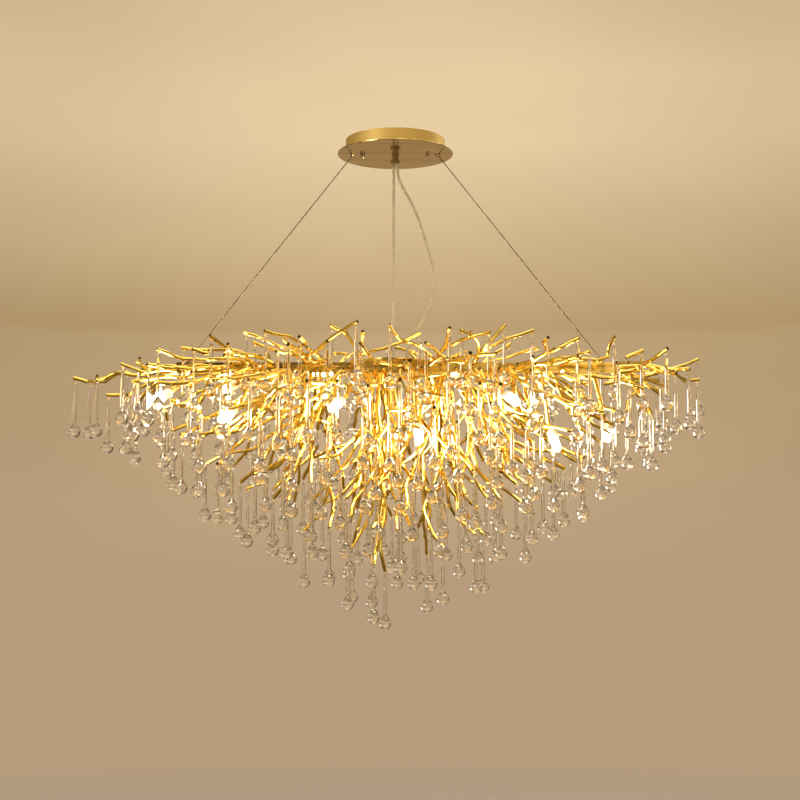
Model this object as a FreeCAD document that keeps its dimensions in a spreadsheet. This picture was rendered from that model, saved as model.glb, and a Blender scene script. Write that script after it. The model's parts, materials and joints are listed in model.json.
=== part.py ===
import FreeCAD, Part
import math
import os
import random

import Sketcher
from FreeCAD import Placement, Rotation, Vector

# A long oval chandelier that hangs from a ceiling canopy on three steel cables.
# The origin is the middle of the ceiling face of the canopy, +Z is up, X runs along the oval and
# -Y faces the room. All sizes are in millimetres.

SIZES = (
    # ceiling canopy
    ("canopy_radius", 95), ("canopy_height", 25), ("canopy_wall", 1.5), ("canopy_lip", 8),
    ("plate_radius", 110.5), ("plate_thickness", 2), ("plate_edge", 0.6),
    ("bracket_length", 146), ("bracket_width", 28), ("bracket_thickness", 2.5),
    ("slot_spacing", 80), ("slot_length", 26), ("slot_width", 5.5),
    ("stud_spacing", 125), ("stud_radius", 2), ("cap_nut_radius", 4.6), ("cap_nut_height", 8.5),
    ("terminal_length", 34), ("terminal_width", 16), ("terminal_height", 13), ("terminal_offset", 38),
    # cord gland in the middle of the plate
    ("gland_radius", 7), ("gland_height", 12), ("gland_neck", 4), ("gland_nut_flats", 17),
    ("gland_nut_height", 5), ("cord_radius", 2.7), ("cord_offset", 3.2), ("cord_fit", 0.05),
    ("funnel_play", 0.3),
    # suspension
    ("cable_radius", 1), ("cable_spacing", 158), ("cable_offset", -3.2), ("cable_fit", 0.2),
    ("cable_stop_radius", 1.9), ("cable_stop_length", 5), ("cable_tail", 10.7),
    ("ball_radius", 5.5), ("ball_lift", 0.4), ("ball_fit", 0.1), ("plunger_radius", 2.5),
    ("plunger_length", 8.5), ("plunger_start", 1.5), ("plunger_fit", 0.15), ("plunger_travel", 2),
    ("sleeve_radius", 2.7), ("sleeve_bore", 1.3), ("sleeve_gap", 8), ("sway_angle", 5),
    ("anchor_spacing", 780), ("anchor_radius", 5), ("anchor_post_radius", 3.5), ("anchor_height", 8),
    # spine that the twigs and the lamps stand on
    ("spine_drop", 432), ("spine_length", 820), ("spine_width", 56), ("spine_height", 20),
    ("spine_wall", 2.5), ("screw_head_radius", 3), ("screw_head_height", 1.5),
    ("hub_radius", 78), ("hub_thickness", 2.5), ("grommet_radius", 5), ("grommet_height", 5),
    ("grommet_gap", 0.5),
    ("cord_entry", 20), ("wire_radius", 1.4), ("wire_spacing", 12),
    # lamps
    ("arm_radius", 4), ("arm_start", 22), ("holder_radius", 9), ("holder_length", 20),
    ("holder_socket", 8), ("holder_play", 0.3), ("bulb_radius", 7), ("bulb_length", 46),
    ("bulb_travel", 14), ("pin_radius", 0.7), ("pin_length", 6), ("pin_spacing", 8),
    # twigs
    ("oval_length", 1180), ("oval_width", 450), ("cluster_depth", 384), ("rim_drop", 8),
    ("crown_rise", 46), ("tip_spacing", 62), ("crown_spacing", 86), ("tier_count", 10),
    ("stem_radius", 3.1), ("twig_radius", 2.5), ("knee_spacing", 46), ("waver", 8),
    ("fork_angle", 13), ("root_run", 22), ("root_pitch", 9), ("root_inset", 4),
    ("air_gap", 2.2), ("tip_inset", 3.4),
    # rings and glass drops
    ("eye_radius", 2), ("eye_wire", 0.7), ("ring_radius", 3.2), ("ring_wire", 0.6),
    ("ring_play", 0.12), ("drop_eye_radius", 2.5), ("drop_eye_wire", 0.9), ("drop_length", 100),
    ("drop_ball_radius", 12), ("drop_neck_radius", 2.6), ("drop_waist_radius", 2.8),
    ("drop_neck_length", 66), ("swing_angle", 20),
)

doc = FreeCAD.newDocument("chandelier")
sheet = doc.addObject("Spreadsheet::Sheet", "sizes")
for row, (alias, value) in enumerate(SIZES, start=1):
    sheet.set(f"A{row}", alias)
    sheet.set(f"B{row}", str(value))
    sheet.setAlias(f"B{row}", alias)
doc.recompute()


def mm(alias):
    """The number in the sheet's cell of that name."""
    return float(sheet.get(alias))


UP = Vector(0, 0, 1)
subparts = []


def keep(feature, label):
    """Give a finished sub-part its name; each one is written to a file of that name."""
    feature.Label = label
    subparts.append(feature)
    return feature


def bind(feature, **sizes):
    """Tie properties to the sheet; x, y and z place the feature, axis and turn it."""
    for name, expression in sizes.items():
        path = f".Placement.Base.{name}" if name in "xyz" else name
        feature.setExpression(path, expression)
    return feature


def primitive(kind, name, **sizes):
    return bind(doc.addObject(f"Part::{kind}", name), **sizes)


def cut(name, base, tool):
    feature = doc.addObject("Part::Cut", name)
    feature.Base = base
    feature.Tool = tool
    return feature


def gather(kind, name, shapes):
    """A Part::MultiFuse or a Part::Compound of several features."""
    feature = doc.addObject(f"Part::{kind}", name)
    if kind == "Compound":
        feature.Links = shapes
    else:
        feature.Shapes = shapes
    return feature


def shaped(label, shape):
    """A sub-part whose form follows the twigs or the cables, worked out from the same sizes."""
    feature = doc.addObject("Part::Feature", label)
    feature.Shape = shape
    return keep(feature, label)


# ---------------------------------------------------------------- sketched bodies


def body_sketch(body, name, lift=None):
    """A sketch on the body's own XY plane, raised by an expression."""
    sketch = body.newObject("Sketcher::SketchObject", name)
    plane = next(f for f in body.Origin.OriginFeatures if f.Role == "XY_Plane")
    sketch.AttachmentSupport = (plane, [""])
    sketch.MapMode = "FlatFace"
    if lift:
        sketch.setExpression(".AttachmentOffset.Base.z", lift)
    return sketch


def sketch_circle(sketch, radius, x=None, side=1):
    """A circle on the sketch's X axis, its radius and its distance from the middle bound."""
    near = side * mm("stud_spacing") / 2 if x else 0
    ring = sketch.addGeometry(Part.Circle(Vector(near, 0, 0), UP, 5))
    if x:
        sketch.addConstraint(Sketcher.Constraint("PointOnObject", ring, 3, -1))
        first, second = ((-1, 1), (ring, 3)) if side > 0 else ((ring, 3), (-1, 1))
        away = sketch.addConstraint(Sketcher.Constraint("DistanceX", *first, *second, abs(near)))
        sketch.setExpression(f"Constraints[{away}]", x)
    else:
        sketch.addConstraint(Sketcher.Constraint("Coincident", ring, 3, -1, 1))
    size = sketch.addConstraint(Sketcher.Constraint("Radius", ring, 5))
    sketch.setExpression(f"Constraints[{size}]", radius)


def sketch_rectangle(sketch, length, width):
    """A rectangle about the sketch's middle."""
    far_x, far_y = 20, 10
    corners = [Vector(sx * far_x, sy * far_y, 0) for sx, sy in ((-1, -1), (1, -1), (1, 1), (-1, 1))]
    lines = [sketch.addGeometry(Part.LineSegment(a, b)) for a, b in zip(corners, corners[1:] + corners[:1])]
    for a, b in zip(lines, lines[1:] + lines[:1]):
        sketch.addConstraint(Sketcher.Constraint("Coincident", a, 2, b, 1))
    for line, way in zip(lines, ("Horizontal", "Vertical", "Horizontal", "Vertical")):
        sketch.addConstraint(Sketcher.Constraint(way, line))
    sketch.addConstraint(Sketcher.Constraint("Symmetric", lines[0], 1, lines[2], 1, -1, 1))
    wide = sketch.addConstraint(Sketcher.Constraint("DistanceX", lines[0], 1, lines[0], 2, 2 * far_x))
    deep = sketch.addConstraint(Sketcher.Constraint("DistanceY", lines[1], 1, lines[1], 2, 2 * far_y))
    sketch.setExpression(f"Constraints[{wide}]", length)
    sketch.setExpression(f"Constraints[{deep}]", width)


def pad(body, sketch, length):
    feature = body.newObject("PartDesign::Pad", f"{sketch.Name}_pad")
    feature.Profile = sketch
    feature.setExpression("Length", length)
    sketch.Visibility = False
    return feature


def canopy_drum():
    """The drum's wall, open to the ceiling, with a lip inside its foot that the plate lies under."""
    body = doc.addObject("PartDesign::Body", "canopy_drum")
    wall = body_sketch(body, "drum_wall", "-sizes.canopy_height")
    sketch_circle(wall, "sizes.canopy_radius")
    sketch_circle(wall, "sizes.canopy_radius - sizes.canopy_wall")
    pad(body, wall, "sizes.canopy_height")
    lip = body_sketch(body, "drum_lip", "-sizes.canopy_height")
    sketch_circle(lip, "sizes.canopy_radius")
    sketch_circle(lip, "sizes.canopy_radius - sizes.canopy_lip")
    pad(body, lip, "sizes.canopy_wall")
    keep(body, "canopy_drum")


def canopy_plate():
    """The wide plate: a turned edge, two stud holes, a gland hole and two round seats for the balls."""
    body = doc.addObject("PartDesign::Body", "canopy_plate")
    disc = body_sketch(body, "plate_disc", "-sizes.canopy_height - sizes.plate_thickness")
    sketch_circle(disc, "sizes.plate_radius")
    sketch_circle(disc, "sizes.gland_neck + sizes.cord_offset")
    for side in (1, -1):
        sketch_circle(disc, "sizes.stud_radius + 0.2", "sizes.stud_spacing / 2", side)
    pad(body, disc, "sizes.plate_thickness")
    for side in (1, -1):
        seat = body.newObject("PartDesign::SubtractiveSphere", f"ball_seat_{'r' if side > 0 else 'l'}")
        seat.setExpression("Radius", "sizes.ball_radius + sizes.ball_fit")
        seat.setExpression(".AttachmentOffset.Base.x", f"{side} * sizes.cable_spacing / 2")
        seat.setExpression(".AttachmentOffset.Base.z", "-sizes.canopy_height + sizes.ball_lift")
        plane = next(f for f in body.Origin.OriginFeatures if f.Role == "XY_Plane")
        seat.AttachmentSupport = (plane, [""])
        seat.MapMode = "FlatFace"
    doc.recompute()
    rim = body.newObject("PartDesign::Chamfer", "plate_rim")
    outer = [
        f"Edge{n}" for n, edge in enumerate(seat.Shape.Edges, start=1)
        if hasattr(edge.Curve, "Radius") and abs(edge.Curve.Radius - mm("plate_radius")) < 0.01
    ]
    rim.Base = (seat, outer)
    rim.setExpression("Size", "sizes.plate_edge")
    body.Tip = rim
    keep(body, "canopy_plate")


def ceiling_bracket():
    """The strap that is screwed to the ceiling through its two slots and carries both studs."""
    strap = primitive(
        "Box", "strap", Length="sizes.bracket_length", Width="sizes.bracket_width",
        Height="sizes.bracket_thickness", x="-sizes.bracket_length / 2", y="-sizes.bracket_width / 2",
        z="-sizes.bracket_thickness",
    )
    holes = []
    for side in (1, -1):
        middle = f"{side} * sizes.slot_spacing / 2"
        reach = "(sizes.slot_length - sizes.slot_width)"
        deep = {"Height": "sizes.bracket_thickness * 3", "z": "-sizes.bracket_thickness * 2"}
        holes.append(primitive(
            "Box", f"slot_{side + 1}", Length=reach, Width="sizes.slot_width",
            x=f"{middle} - {reach} / 2", y="-sizes.slot_width / 2", **deep,
        ))
        for end in (1, -1):
            holes.append(primitive(
                "Cylinder", f"slot_end_{side + 1}_{end + 1}", Radius="sizes.slot_width / 2",
                x=f"{middle} + {end} * {reach} / 2", **deep,
            ))
    keep(cut("ceiling_bracket", strap, gather("MultiFuse", "bracket_slots", holes)), "ceiling_bracket")


def canopy_fasteners():
    """Two studs down from the strap and the domed nuts that hold the plate on them."""
    studs = []
    nuts = []
    blind = "(sizes.cap_nut_height * 0.7)"
    foot = "(-sizes.canopy_height - sizes.plate_thickness)"
    for side, tag in ((1, "r"), (-1, "l")):
        along = f"{side} * sizes.stud_spacing / 2"
        studs.append(primitive(
            "Cylinder", f"stud_{tag}", Radius="sizes.stud_radius", x=along, z=f"{foot} - {blind}",
            Height=f"sizes.canopy_height + sizes.plate_thickness + {blind} - sizes.bracket_thickness",
        ))
        skirt = primitive(
            "Cylinder", f"nut_skirt_{tag}", Radius="sizes.cap_nut_radius", x=along,
            Height="sizes.cap_nut_height - sizes.cap_nut_radius",
            z=f"{foot} - sizes.cap_nut_height + sizes.cap_nut_radius",
        )
        dome = primitive(
            "Sphere", f"nut_dome_{tag}", Radius="sizes.cap_nut_radius", x=along,
            z=f"{foot} - sizes.cap_nut_height + sizes.cap_nut_radius",
        )
        dome.setExpression("Angle2", "0")
        thread = primitive(
            "Cylinder", f"nut_thread_{tag}", Radius="sizes.stud_radius", x=along,
            Height=f"{blind} + 1", z=f"{foot} - {blind}",
        )
        nuts.append(cut(f"cap_nut_{tag}", gather("MultiFuse", f"nut_blank_{tag}", [skirt, dome]), thread))
    keep(gather("Compound", "canopy_studs", studs), "canopy_studs")
    keep(gather("Compound", "canopy_cap_nuts", nuts), "canopy_cap_nuts")


def terminal_block():
    """The block on the plate that the lead and the house wiring are screwed into."""
    case = primitive(
        "Box", "terminal_case", Length="sizes.terminal_length", Width="sizes.terminal_width",
        Height="sizes.terminal_height", x="-sizes.terminal_length / 2",
        y="sizes.terminal_offset - sizes.terminal_width / 2", z="-sizes.canopy_height",
    )
    wells = [
        primitive(
            "Cylinder", f"terminal_well_{n}", Radius="sizes.terminal_width / 6",
            Height="sizes.terminal_height", x=f"{n - 1} * sizes.terminal_length / 3",
            y="sizes.terminal_offset", z="-sizes.canopy_height + sizes.terminal_height * 0.45",
        )
        for n in range(3)
    ]
    keep(cut("terminal_block", case, gather("MultiFuse", "terminal_wells", wells)), "terminal_block")


def cord_gland():
    """The gland under the plate and its nut, both with a funnel for the cable and a bore for the cord."""
    foot = "(-sizes.canopy_height - sizes.plate_thickness)"
    pivot = "(sizes.ball_lift - sizes.canopy_height)"
    barrel = primitive(
        "Cylinder", "gland_barrel", Radius="sizes.gland_radius", Height="sizes.gland_height",
        z=f"{foot} - sizes.gland_height",
    )
    neck = primitive(
        "Cylinder", "gland_neck", Radius="sizes.gland_neck + sizes.cord_offset",
        Height="sizes.plate_thickness", z=foot,
    )
    nut = primitive(
        "Prism", "gland_hexagon", Polygon="6", Circumradius="sizes.gland_nut_flats / 2 / cos(30 deg)",
        Height="sizes.gland_nut_height", z=f"{foot} - sizes.gland_height - sizes.gland_nut_height",
    )
    depth = "(sizes.gland_height + sizes.gland_nut_height + sizes.plate_thickness)"
    mouth = f"{foot} - sizes.gland_height - sizes.gland_nut_height"
    spread = "(sizes.cable_radius + sizes.funnel_play)"
    for base, label in ((gather("MultiFuse", "gland_blank", [barrel, neck]), "cord_gland"), (nut, "gland_nut")):
        funnel = primitive(
            "Cone", f"{label}_funnel", x="sizes.cable_offset", z=mouth, Height=depth,
            Radius1=f"{spread} + ({pivot} - ({mouth})) * tan(sizes.sway_angle * 1 deg)",
            Radius2=f"{spread} + ({pivot} + sizes.canopy_height) * tan(sizes.sway_angle * 1 deg)",
        )
        bore = primitive(
            "Cylinder", f"{label}_bore", x="sizes.cord_offset", z=mouth, Height=depth,
            Radius="sizes.cord_radius + sizes.cord_fit",
        )
        keep(cut(label, base, gather("MultiFuse", f"{label}_bores", [funnel, bore])), label)


# ---------------------------------------------------------------- pipes and other worked-out forms


def rounded_path(points, share=0.45):
    """Straight runs through the points, each corner an arc as large as its two runs allow.

    Returns the wire, the arcs' radii and the points that the wire really passes through.
    """
    edges, radii, passed = [], [], [points[0]]
    start = points[0]
    for before, corner, after in zip(points, points[1:], points[2:]):
        come = (corner - before).normalize()
        leave = (after - corner).normalize()
        turn = come.getAngle(leave)
        back = share * min((corner - before).Length, (after - corner).Length)
        radius = back / math.tan(turn / 2)
        bisector = (leave - come).normalize()
        centre = corner + bisector * (radius / math.cos(turn / 2))
        middle = centre - bisector * radius
        begin, finish = corner - come * back, corner + leave * back
        edges.append(Part.LineSegment(start, begin).toShape())
        edges.append(Part.Arc(begin, middle, finish).toShape())
        radii.append(radius)
        passed.append(middle)
        start = finish
    edges.append(Part.LineSegment(start, points[-1]).toShape())
    passed.append(points[-1])
    return Part.Wire(edges), radii, passed


def rod(points, radius):
    """A round rod along straight runs and arcs."""
    path = rounded_path(points)[0]
    section = Part.Wire(Part.makeCircle(radius, points[0], points[1] - points[0]))
    return path.makePipeShell([section], True, False)


def tube_to(start, end, radius):
    return Part.makeCylinder(radius, (end - start).Length, start, end - start)


CEILING_FOOT = -mm("canopy_height") - mm("plate_thickness")
PIVOT = Vector(0, 0, mm("ball_lift") - mm("canopy_height"))
GLAND_MOUTH = CEILING_FOOT - mm("gland_height") - mm("gland_nut_height")
SPINE_TOP = -mm("spine_drop")
SPINE_MIDDLE = SPINE_TOP - mm("spine_height") / 2
HUB_TOP = SPINE_TOP + mm("hub_thickness")


def cable_ends():
    """For each cable: where it pivots at the canopy and where it is held at the spine."""
    ends = []
    for side in (-1, 1):
        top = PIVOT + Vector(side * mm("cable_spacing") / 2, 0, 0)
        foot = Vector(side * mm("anchor_spacing") / 2, 0, SPINE_TOP + mm("anchor_height"))
        ends.append((top, foot))
    middle = mm("cable_offset")
    ends.append((PIVOT + Vector(middle, 0, 0), Vector(middle, 0, HUB_TOP + mm("anchor_height"))))
    return ends


def suspension():
    """Cables with crimped stops, their swivel balls and plungers, the sleeve and the anchors."""
    cables, balls, anchors = [], [], []
    for number, (top, foot) in enumerate(cable_ends()):
        way = (foot - top).normalize()
        tail = top - way * mm("cable_tail")
        cable = tube_to(tail, foot, mm("cable_radius"))
        stop = tube_to(tail, tail + way * mm("cable_stop_length"), mm("cable_stop_radius"))
        if number < 2:
            cable = cable.fuse(stop)
            ball = Part.makeSphere(mm("ball_radius"), top)
            ball = ball.cut(tube_to(top - way * 20, top + way * 20, mm("cable_radius") + mm("cable_fit")))
            well = mm("plunger_start") - mm("plunger_travel") - mm("cable_fit")
            ball = ball.cut(tube_to(
                top + way * well, top + way * 20, mm("plunger_radius") + mm("plunger_fit")
            ))
            balls.append(ball)
            nose = top + way * mm("plunger_start")
            plunger = tube_to(nose, nose + way * mm("plunger_length"), mm("plunger_radius"))
            plunger = plunger.cut(tube_to(
                nose - way, nose + way * 20, mm("cable_radius") + mm("cable_fit")
            ))
            shaped(("plunger_left", "plunger_right")[number], plunger)
            print("joint", ("plunger_left", "plunger_right")[number], tuple(nose), tuple(way * -1))
        base = SPINE_TOP if number < 2 else HUB_TOP
        post = Part.makeCylinder(
            mm("anchor_post_radius"), mm("anchor_height"), Vector(foot.x, 0, base)
        )
        anchor = post.fuse(Part.makeSphere(mm("anchor_radius"), foot))
        anchors.append(anchor.cut(tube_to(foot, foot - way * 20, mm("cable_radius"))))
        cables.append(cable)
    shaped("suspension_cables", Part.makeCompound(cables))
    shaped("swivel_balls", Part.makeCompound(balls))
    shaped("cable_anchors", Part.makeCompound(anchors))
    top, foot = cable_ends()[2]
    head = Vector(top.x, 0, GLAND_MOUTH - mm("sleeve_gap"))
    tail = foot + Vector(0, 0, mm("anchor_radius") + 1)
    sleeve = tube_to(head, tail, mm("sleeve_radius")).cut(tube_to(head, tail, mm("sleeve_bore")))
    shaped("cable_sleeve", sleeve)


def cord_route():
    """The clear supply cord, from the gland's mouth to the grommet on the hub disc."""
    exit_x = mm("cord_offset")
    entry = Vector(mm("cord_entry"), 0, HUB_TOP + mm("grommet_height") + mm("grommet_gap"))
    return [
        Vector(exit_x, 0, GLAND_MOUTH), Vector(4.4, 1, -68), Vector(13, 3, -90), Vector(28, 4, -114),
        Vector(45, 6, -153), Vector(57.5, 6, -193), Vector(68, 7, -232), Vector(75.5, 8, -272),
        Vector(68.5, 8, -309), Vector(54, 6, -341), Vector(37, 4, -369), Vector(23.5, 1, -396), entry,
    ]


def supply_cord():
    points = cord_route()
    wire, radii, _ = rounded_path(points)
    cord = rod(points, mm("cord_radius"))
    length = wire.Length
    share = cord.Volume / (math.pi * mm("cord_radius") ** 2 * length)
    print("cord length", round(length, 1), "volume share", round(share, 4))
    print("cord radii", [round(radius, 1) for radius in radii])
    shaped("supply_cord", cord)


def canopy_lead():
    """The end of the cord inside the canopy, from the gland up and over to the terminal block."""
    roof = -mm("canopy_height") + mm("terminal_height") / 2
    near = mm("terminal_offset") - mm("terminal_width") / 2
    along = mm("cord_offset")
    # the first bend starts above the gland, whose bore is straight
    points = [
        Vector(along, 0, GLAND_MOUTH), Vector(along, 0, roof - 1),
        Vector(along, near / 3, roof + 4.5), Vector(along, near * 0.7, roof), Vector(along, near, roof),
    ]
    shaped("canopy_lead", rod(points, mm("cord_radius")))


def spine():
    """The channel, its cover and screws, the hub disc, the grommet and the supply wires inside."""
    tray = doc.addObject("PartDesign::Body", "spine_tray")
    floor = body_sketch(tray, "tray_outline", "-sizes.spine_drop - sizes.spine_height")
    sketch_rectangle(floor, "sizes.spine_length", "sizes.spine_width")
    pad(tray, floor, "sizes.spine_height - sizes.spine_wall")
    hollow = body_sketch(tray, "tray_hollow", "-sizes.spine_drop - sizes.spine_wall")
    sketch_rectangle(
        hollow, "sizes.spine_length - 2 * sizes.spine_wall", "sizes.spine_width - 2 * sizes.spine_wall"
    )
    pocket = tray.newObject("PartDesign::Pocket", "tray_pocket")
    pocket.Profile = hollow
    pocket.setExpression("Length", "sizes.spine_height - 2 * sizes.spine_wall")
    keep(tray, "spine_tray")

    lid = doc.addObject("PartDesign::Body", "spine_cover")
    outline = body_sketch(lid, "cover_outline", "-sizes.spine_drop - sizes.spine_wall")
    sketch_rectangle(outline, "sizes.spine_length", "sizes.spine_width")
    pad(lid, outline, "sizes.spine_wall")
    keep(lid, "spine_cover")

    hub = doc.addObject("PartDesign::Body", "hub_disc")
    disc = body_sketch(hub, "hub_outline", "-sizes.spine_drop")
    sketch_circle(disc, "sizes.hub_radius")
    pad(hub, disc, "sizes.hub_thickness")
    keep(hub, "hub_disc")

    heads = []
    inset = "sizes.spine_wall * 2.5"
    for column in (-1, -0.5, 0.5, 1):
        for side in (-1, 1):
            heads.append(primitive(
                "Cylinder", f"screw_{int(column * 10 + 10)}_{side + 1}", Radius="sizes.screw_head_radius",
                Height="sizes.screw_head_height", z="-sizes.spine_drop",
                x=f"{column} * (sizes.spine_length / 2 - {inset})",
                y=f"{side} * (sizes.spine_width / 2 - {inset})",
            ))
    keep(gather("Compound", "cover_screws", heads), "cover_screws")

    bush = primitive(
        "Cylinder", "grommet_blank", Radius="sizes.grommet_radius", Height="sizes.grommet_height",
        x="sizes.cord_entry", z="-sizes.spine_drop + sizes.hub_thickness",
    )
    keep(bush, "cord_grommet")

    wires = []
    reach = mm("spine_length") / 2 - 4 * mm("spine_wall")
    level = SPINE_TOP - mm("spine_height") + mm("spine_wall") + mm("wire_radius")
    for row in (-1, 0, 1):
        side = Vector(0, row * mm("wire_spacing"), level)
        wires.append(tube_to(side - Vector(reach, 0, 0), side + Vector(reach, 0, 0), mm("wire_radius")))
    shaped("spine_wires", Part.makeCompound(wires))


# ---------------------------------------------------------------- room in the thicket


def between(first, second, third, fourth):
    """The shortest distance between two straight bars, given as tuples of coordinates."""
    ux, uy, uz = second[0] - first[0], second[1] - first[1], second[2] - first[2]
    vx, vy, vz = fourth[0] - third[0], fourth[1] - third[1], fourth[2] - third[2]
    wx, wy, wz = first[0] - third[0], first[1] - third[1], first[2] - third[2]
    a = ux * ux + uy * uy + uz * uz
    e = vx * vx + vy * vy + vz * vz
    b = ux * vx + uy * vy + uz * vz
    c = ux * wx + uy * wy + uz * wz
    f = vx * wx + vy * wy + vz * wz
    gap = a * e - b * b
    along = min(1, max(0, (b * f - c * e) / gap)) if gap > 1e-9 else 0
    other = (b * along + f) / e if e > 1e-9 else 0
    if other < 0 or other > 1:
        other = min(1, max(0, other))
        along = min(1, max(0, (b * other - c) / a)) if a > 1e-9 else 0
    dx = wx + ux * along - vx * other
    dy = wy + uy * along - vy * other
    dz = wz + uz * along - vz * other
    return math.sqrt(dx * dx + dy * dy + dz * dz)


TRIES = 120
# the branches, by tier and by turn along it, whose main drop is a sub-part that swings by itself
SWINGING = {0: (1, 5, 8, 13), 2: (1, 5, 9), 4: (2, 7), 6: (1, 4), 8: (1,), 9: (0,)}


class Thicket:
    """The bars and beads that already stand in the cluster, each with its radius and its owner."""

    def __init__(self, gap):
        self.gap = gap
        self.bars = []

    def add(self, start, end, radius, owner):
        start, end = tuple(start), tuple(end)
        low = [min(a, b) - radius for a, b in zip(start, end)]
        high = [max(a, b) + radius for a, b in zip(start, end)]
        self.bars.append((low, high, start, end, radius, owner))

    def is_free(self, start, end, radius, skip=()):
        start, end = tuple(start), tuple(end)
        reach = radius + self.gap
        low_x, low_y, low_z = (min(a, b) - reach for a, b in zip(start, end))
        high_x, high_y, high_z = (max(a, b) + reach for a, b in zip(start, end))
        for low, high, first, second, other, owner in self.bars:
            if low[0] > high_x or high[0] < low_x or low[1] > high_y or high[1] < low_y:
                continue
            if low[2] > high_z or high[2] < low_z or owner in skip:
                continue
            if between(start, end, first, second) < reach + other:
                return False
        return True


def spine_box_distance(point):
    """How far a point is from the spine's outside."""
    dx = max(abs(point.x) - mm("spine_length") / 2, 0)
    dy = max(abs(point.y) - mm("spine_width") / 2, 0)
    dz = max(abs(point.z - SPINE_MIDDLE) - mm("spine_height") / 2, 0)
    return math.sqrt(dx * dx + dy * dy + dz * dz)


# ---------------------------------------------------------------- lamps

# Each lamp stands on one side of the spine: its place along the spine and at the bulb, as shares of
# the spine's half length, its side, how far out its holder is and how far below the spine.
LAMPS = (
    (-0.93, -1.02, -1, 62, 52), (-0.68, -0.76, 1, 78, 20), (-0.62, -0.72, -1, 84, 86),
    (-0.30, -0.34, 1, 84, 34), (-0.16, -0.24, -1, 92, 70), (-0.02, 0.02, 1, 92, 96),
    (0.08, 0.10, -1, 88, 118), (0.20, 0.24, 1, 88, 40), (0.44, 0.50, -1, 84, 58),
    (0.60, 0.66, 1, 78, 26), (0.66, 0.70, -1, 74, 128), (0.93, 0.98, 1, 62, 92),
)


def lamp_lines():
    """For each lamp: the arm's points and the bulb's axis."""
    half = mm("spine_length") / 2
    lines = []
    for root_share, bulb_share, side, out, below in LAMPS:
        root = Vector(root_share * half, side * mm("spine_width") / 2, SPINE_MIDDLE)
        knee = root + Vector(0, side * mm("arm_start"), 0)
        seat = Vector(bulb_share * half, side * out, SPINE_MIDDLE - below)
        way = (seat - knee).normalize()
        way = (way + Vector(0, side * 0.7, 0.35)).normalize()
        lines.append(([root, knee, seat - way * 26, seat], way))
    return lines


def lamps(thicket):
    """Arms bent out of pipe, ceramic holders and push-in bulbs, each bulb a sub-part of its own."""
    arms, holders = [], []
    holder_radius, holder_length = mm("holder_radius"), mm("holder_length")
    socket, play = mm("holder_socket"), mm("holder_play")
    for number, (points, way) in enumerate(lamp_lines(), start=1):
        seat = points[-1]
        arms.append(rod(points, mm("arm_radius")))
        passed = rounded_path(points)[2]
        for start, end in zip(passed, passed[1:]):
            thicket.add(start, end, mm("arm_radius"), "lamp")
        side = way.cross(UP).normalize()
        pins = [seat + side * (sign * mm("pin_spacing") / 2) for sign in (-1, 1)]
        holder = tube_to(seat, seat + way * holder_length, holder_radius)
        holder = holder.cut(tube_to(
            seat + way * (holder_length - socket), seat + way * (holder_length + 1), mm("bulb_radius") + play
        ))
        floor = holder_length - socket
        for pin in pins:
            holder = holder.cut(tube_to(
                pin + way * (floor - mm("pin_length") - play), pin + way * (floor + 1),
                mm("pin_radius") + play,
            ))
        holders.append(holder)
        foot = seat + way * (floor + play)
        bulb = bulb_shape()
        bulb.Placement = Placement(foot, Rotation(UP, way))
        bulb = Part.makeCompound(
            [bulb] + [tube_to(pin + way * (floor + play), pin + way * (floor - mm("pin_length") + play),
                              mm("pin_radius")) for pin in pins]
        )
        label = f"bulb_{number:02d}"
        shaped(label, bulb)
        print("joint", label, tuple(foot), tuple(way))
        far = foot + way * (mm("bulb_length") + mm("bulb_travel") - mm("bulb_radius"))
        thicket.add(seat, far, holder_radius + 1, "lamp")
    shaped("lamp_arms", Part.makeCompound(arms))
    shaped("lamp_holders", Part.makeCompound(holders))


def bulb_shape():
    """A capsule bulb on its foot: a straight glass body with a round end."""
    radius, length = mm("bulb_radius"), mm("bulb_length")
    shoulder = length - radius
    corners = [Vector(0, 0, 0), Vector(radius, 0, 0), Vector(radius, 0, shoulder)]
    edges = [Part.LineSegment(corners[0], corners[1]).toShape(), Part.LineSegment(corners[1], corners[2]).toShape()]
    slant = radius * math.sqrt(0.5)
    edges.append(Part.Arc(corners[2], Vector(slant, 0, shoulder + slant), Vector(0, 0, length)).toShape())
    edges.append(Part.LineSegment(Vector(0, 0, length), corners[0]).toShape())
    return Part.Face(Part.Wire(edges)).revolve(Vector(0, 0, 0), UP, 360)


# ---------------------------------------------------------------- glass drops


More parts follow.
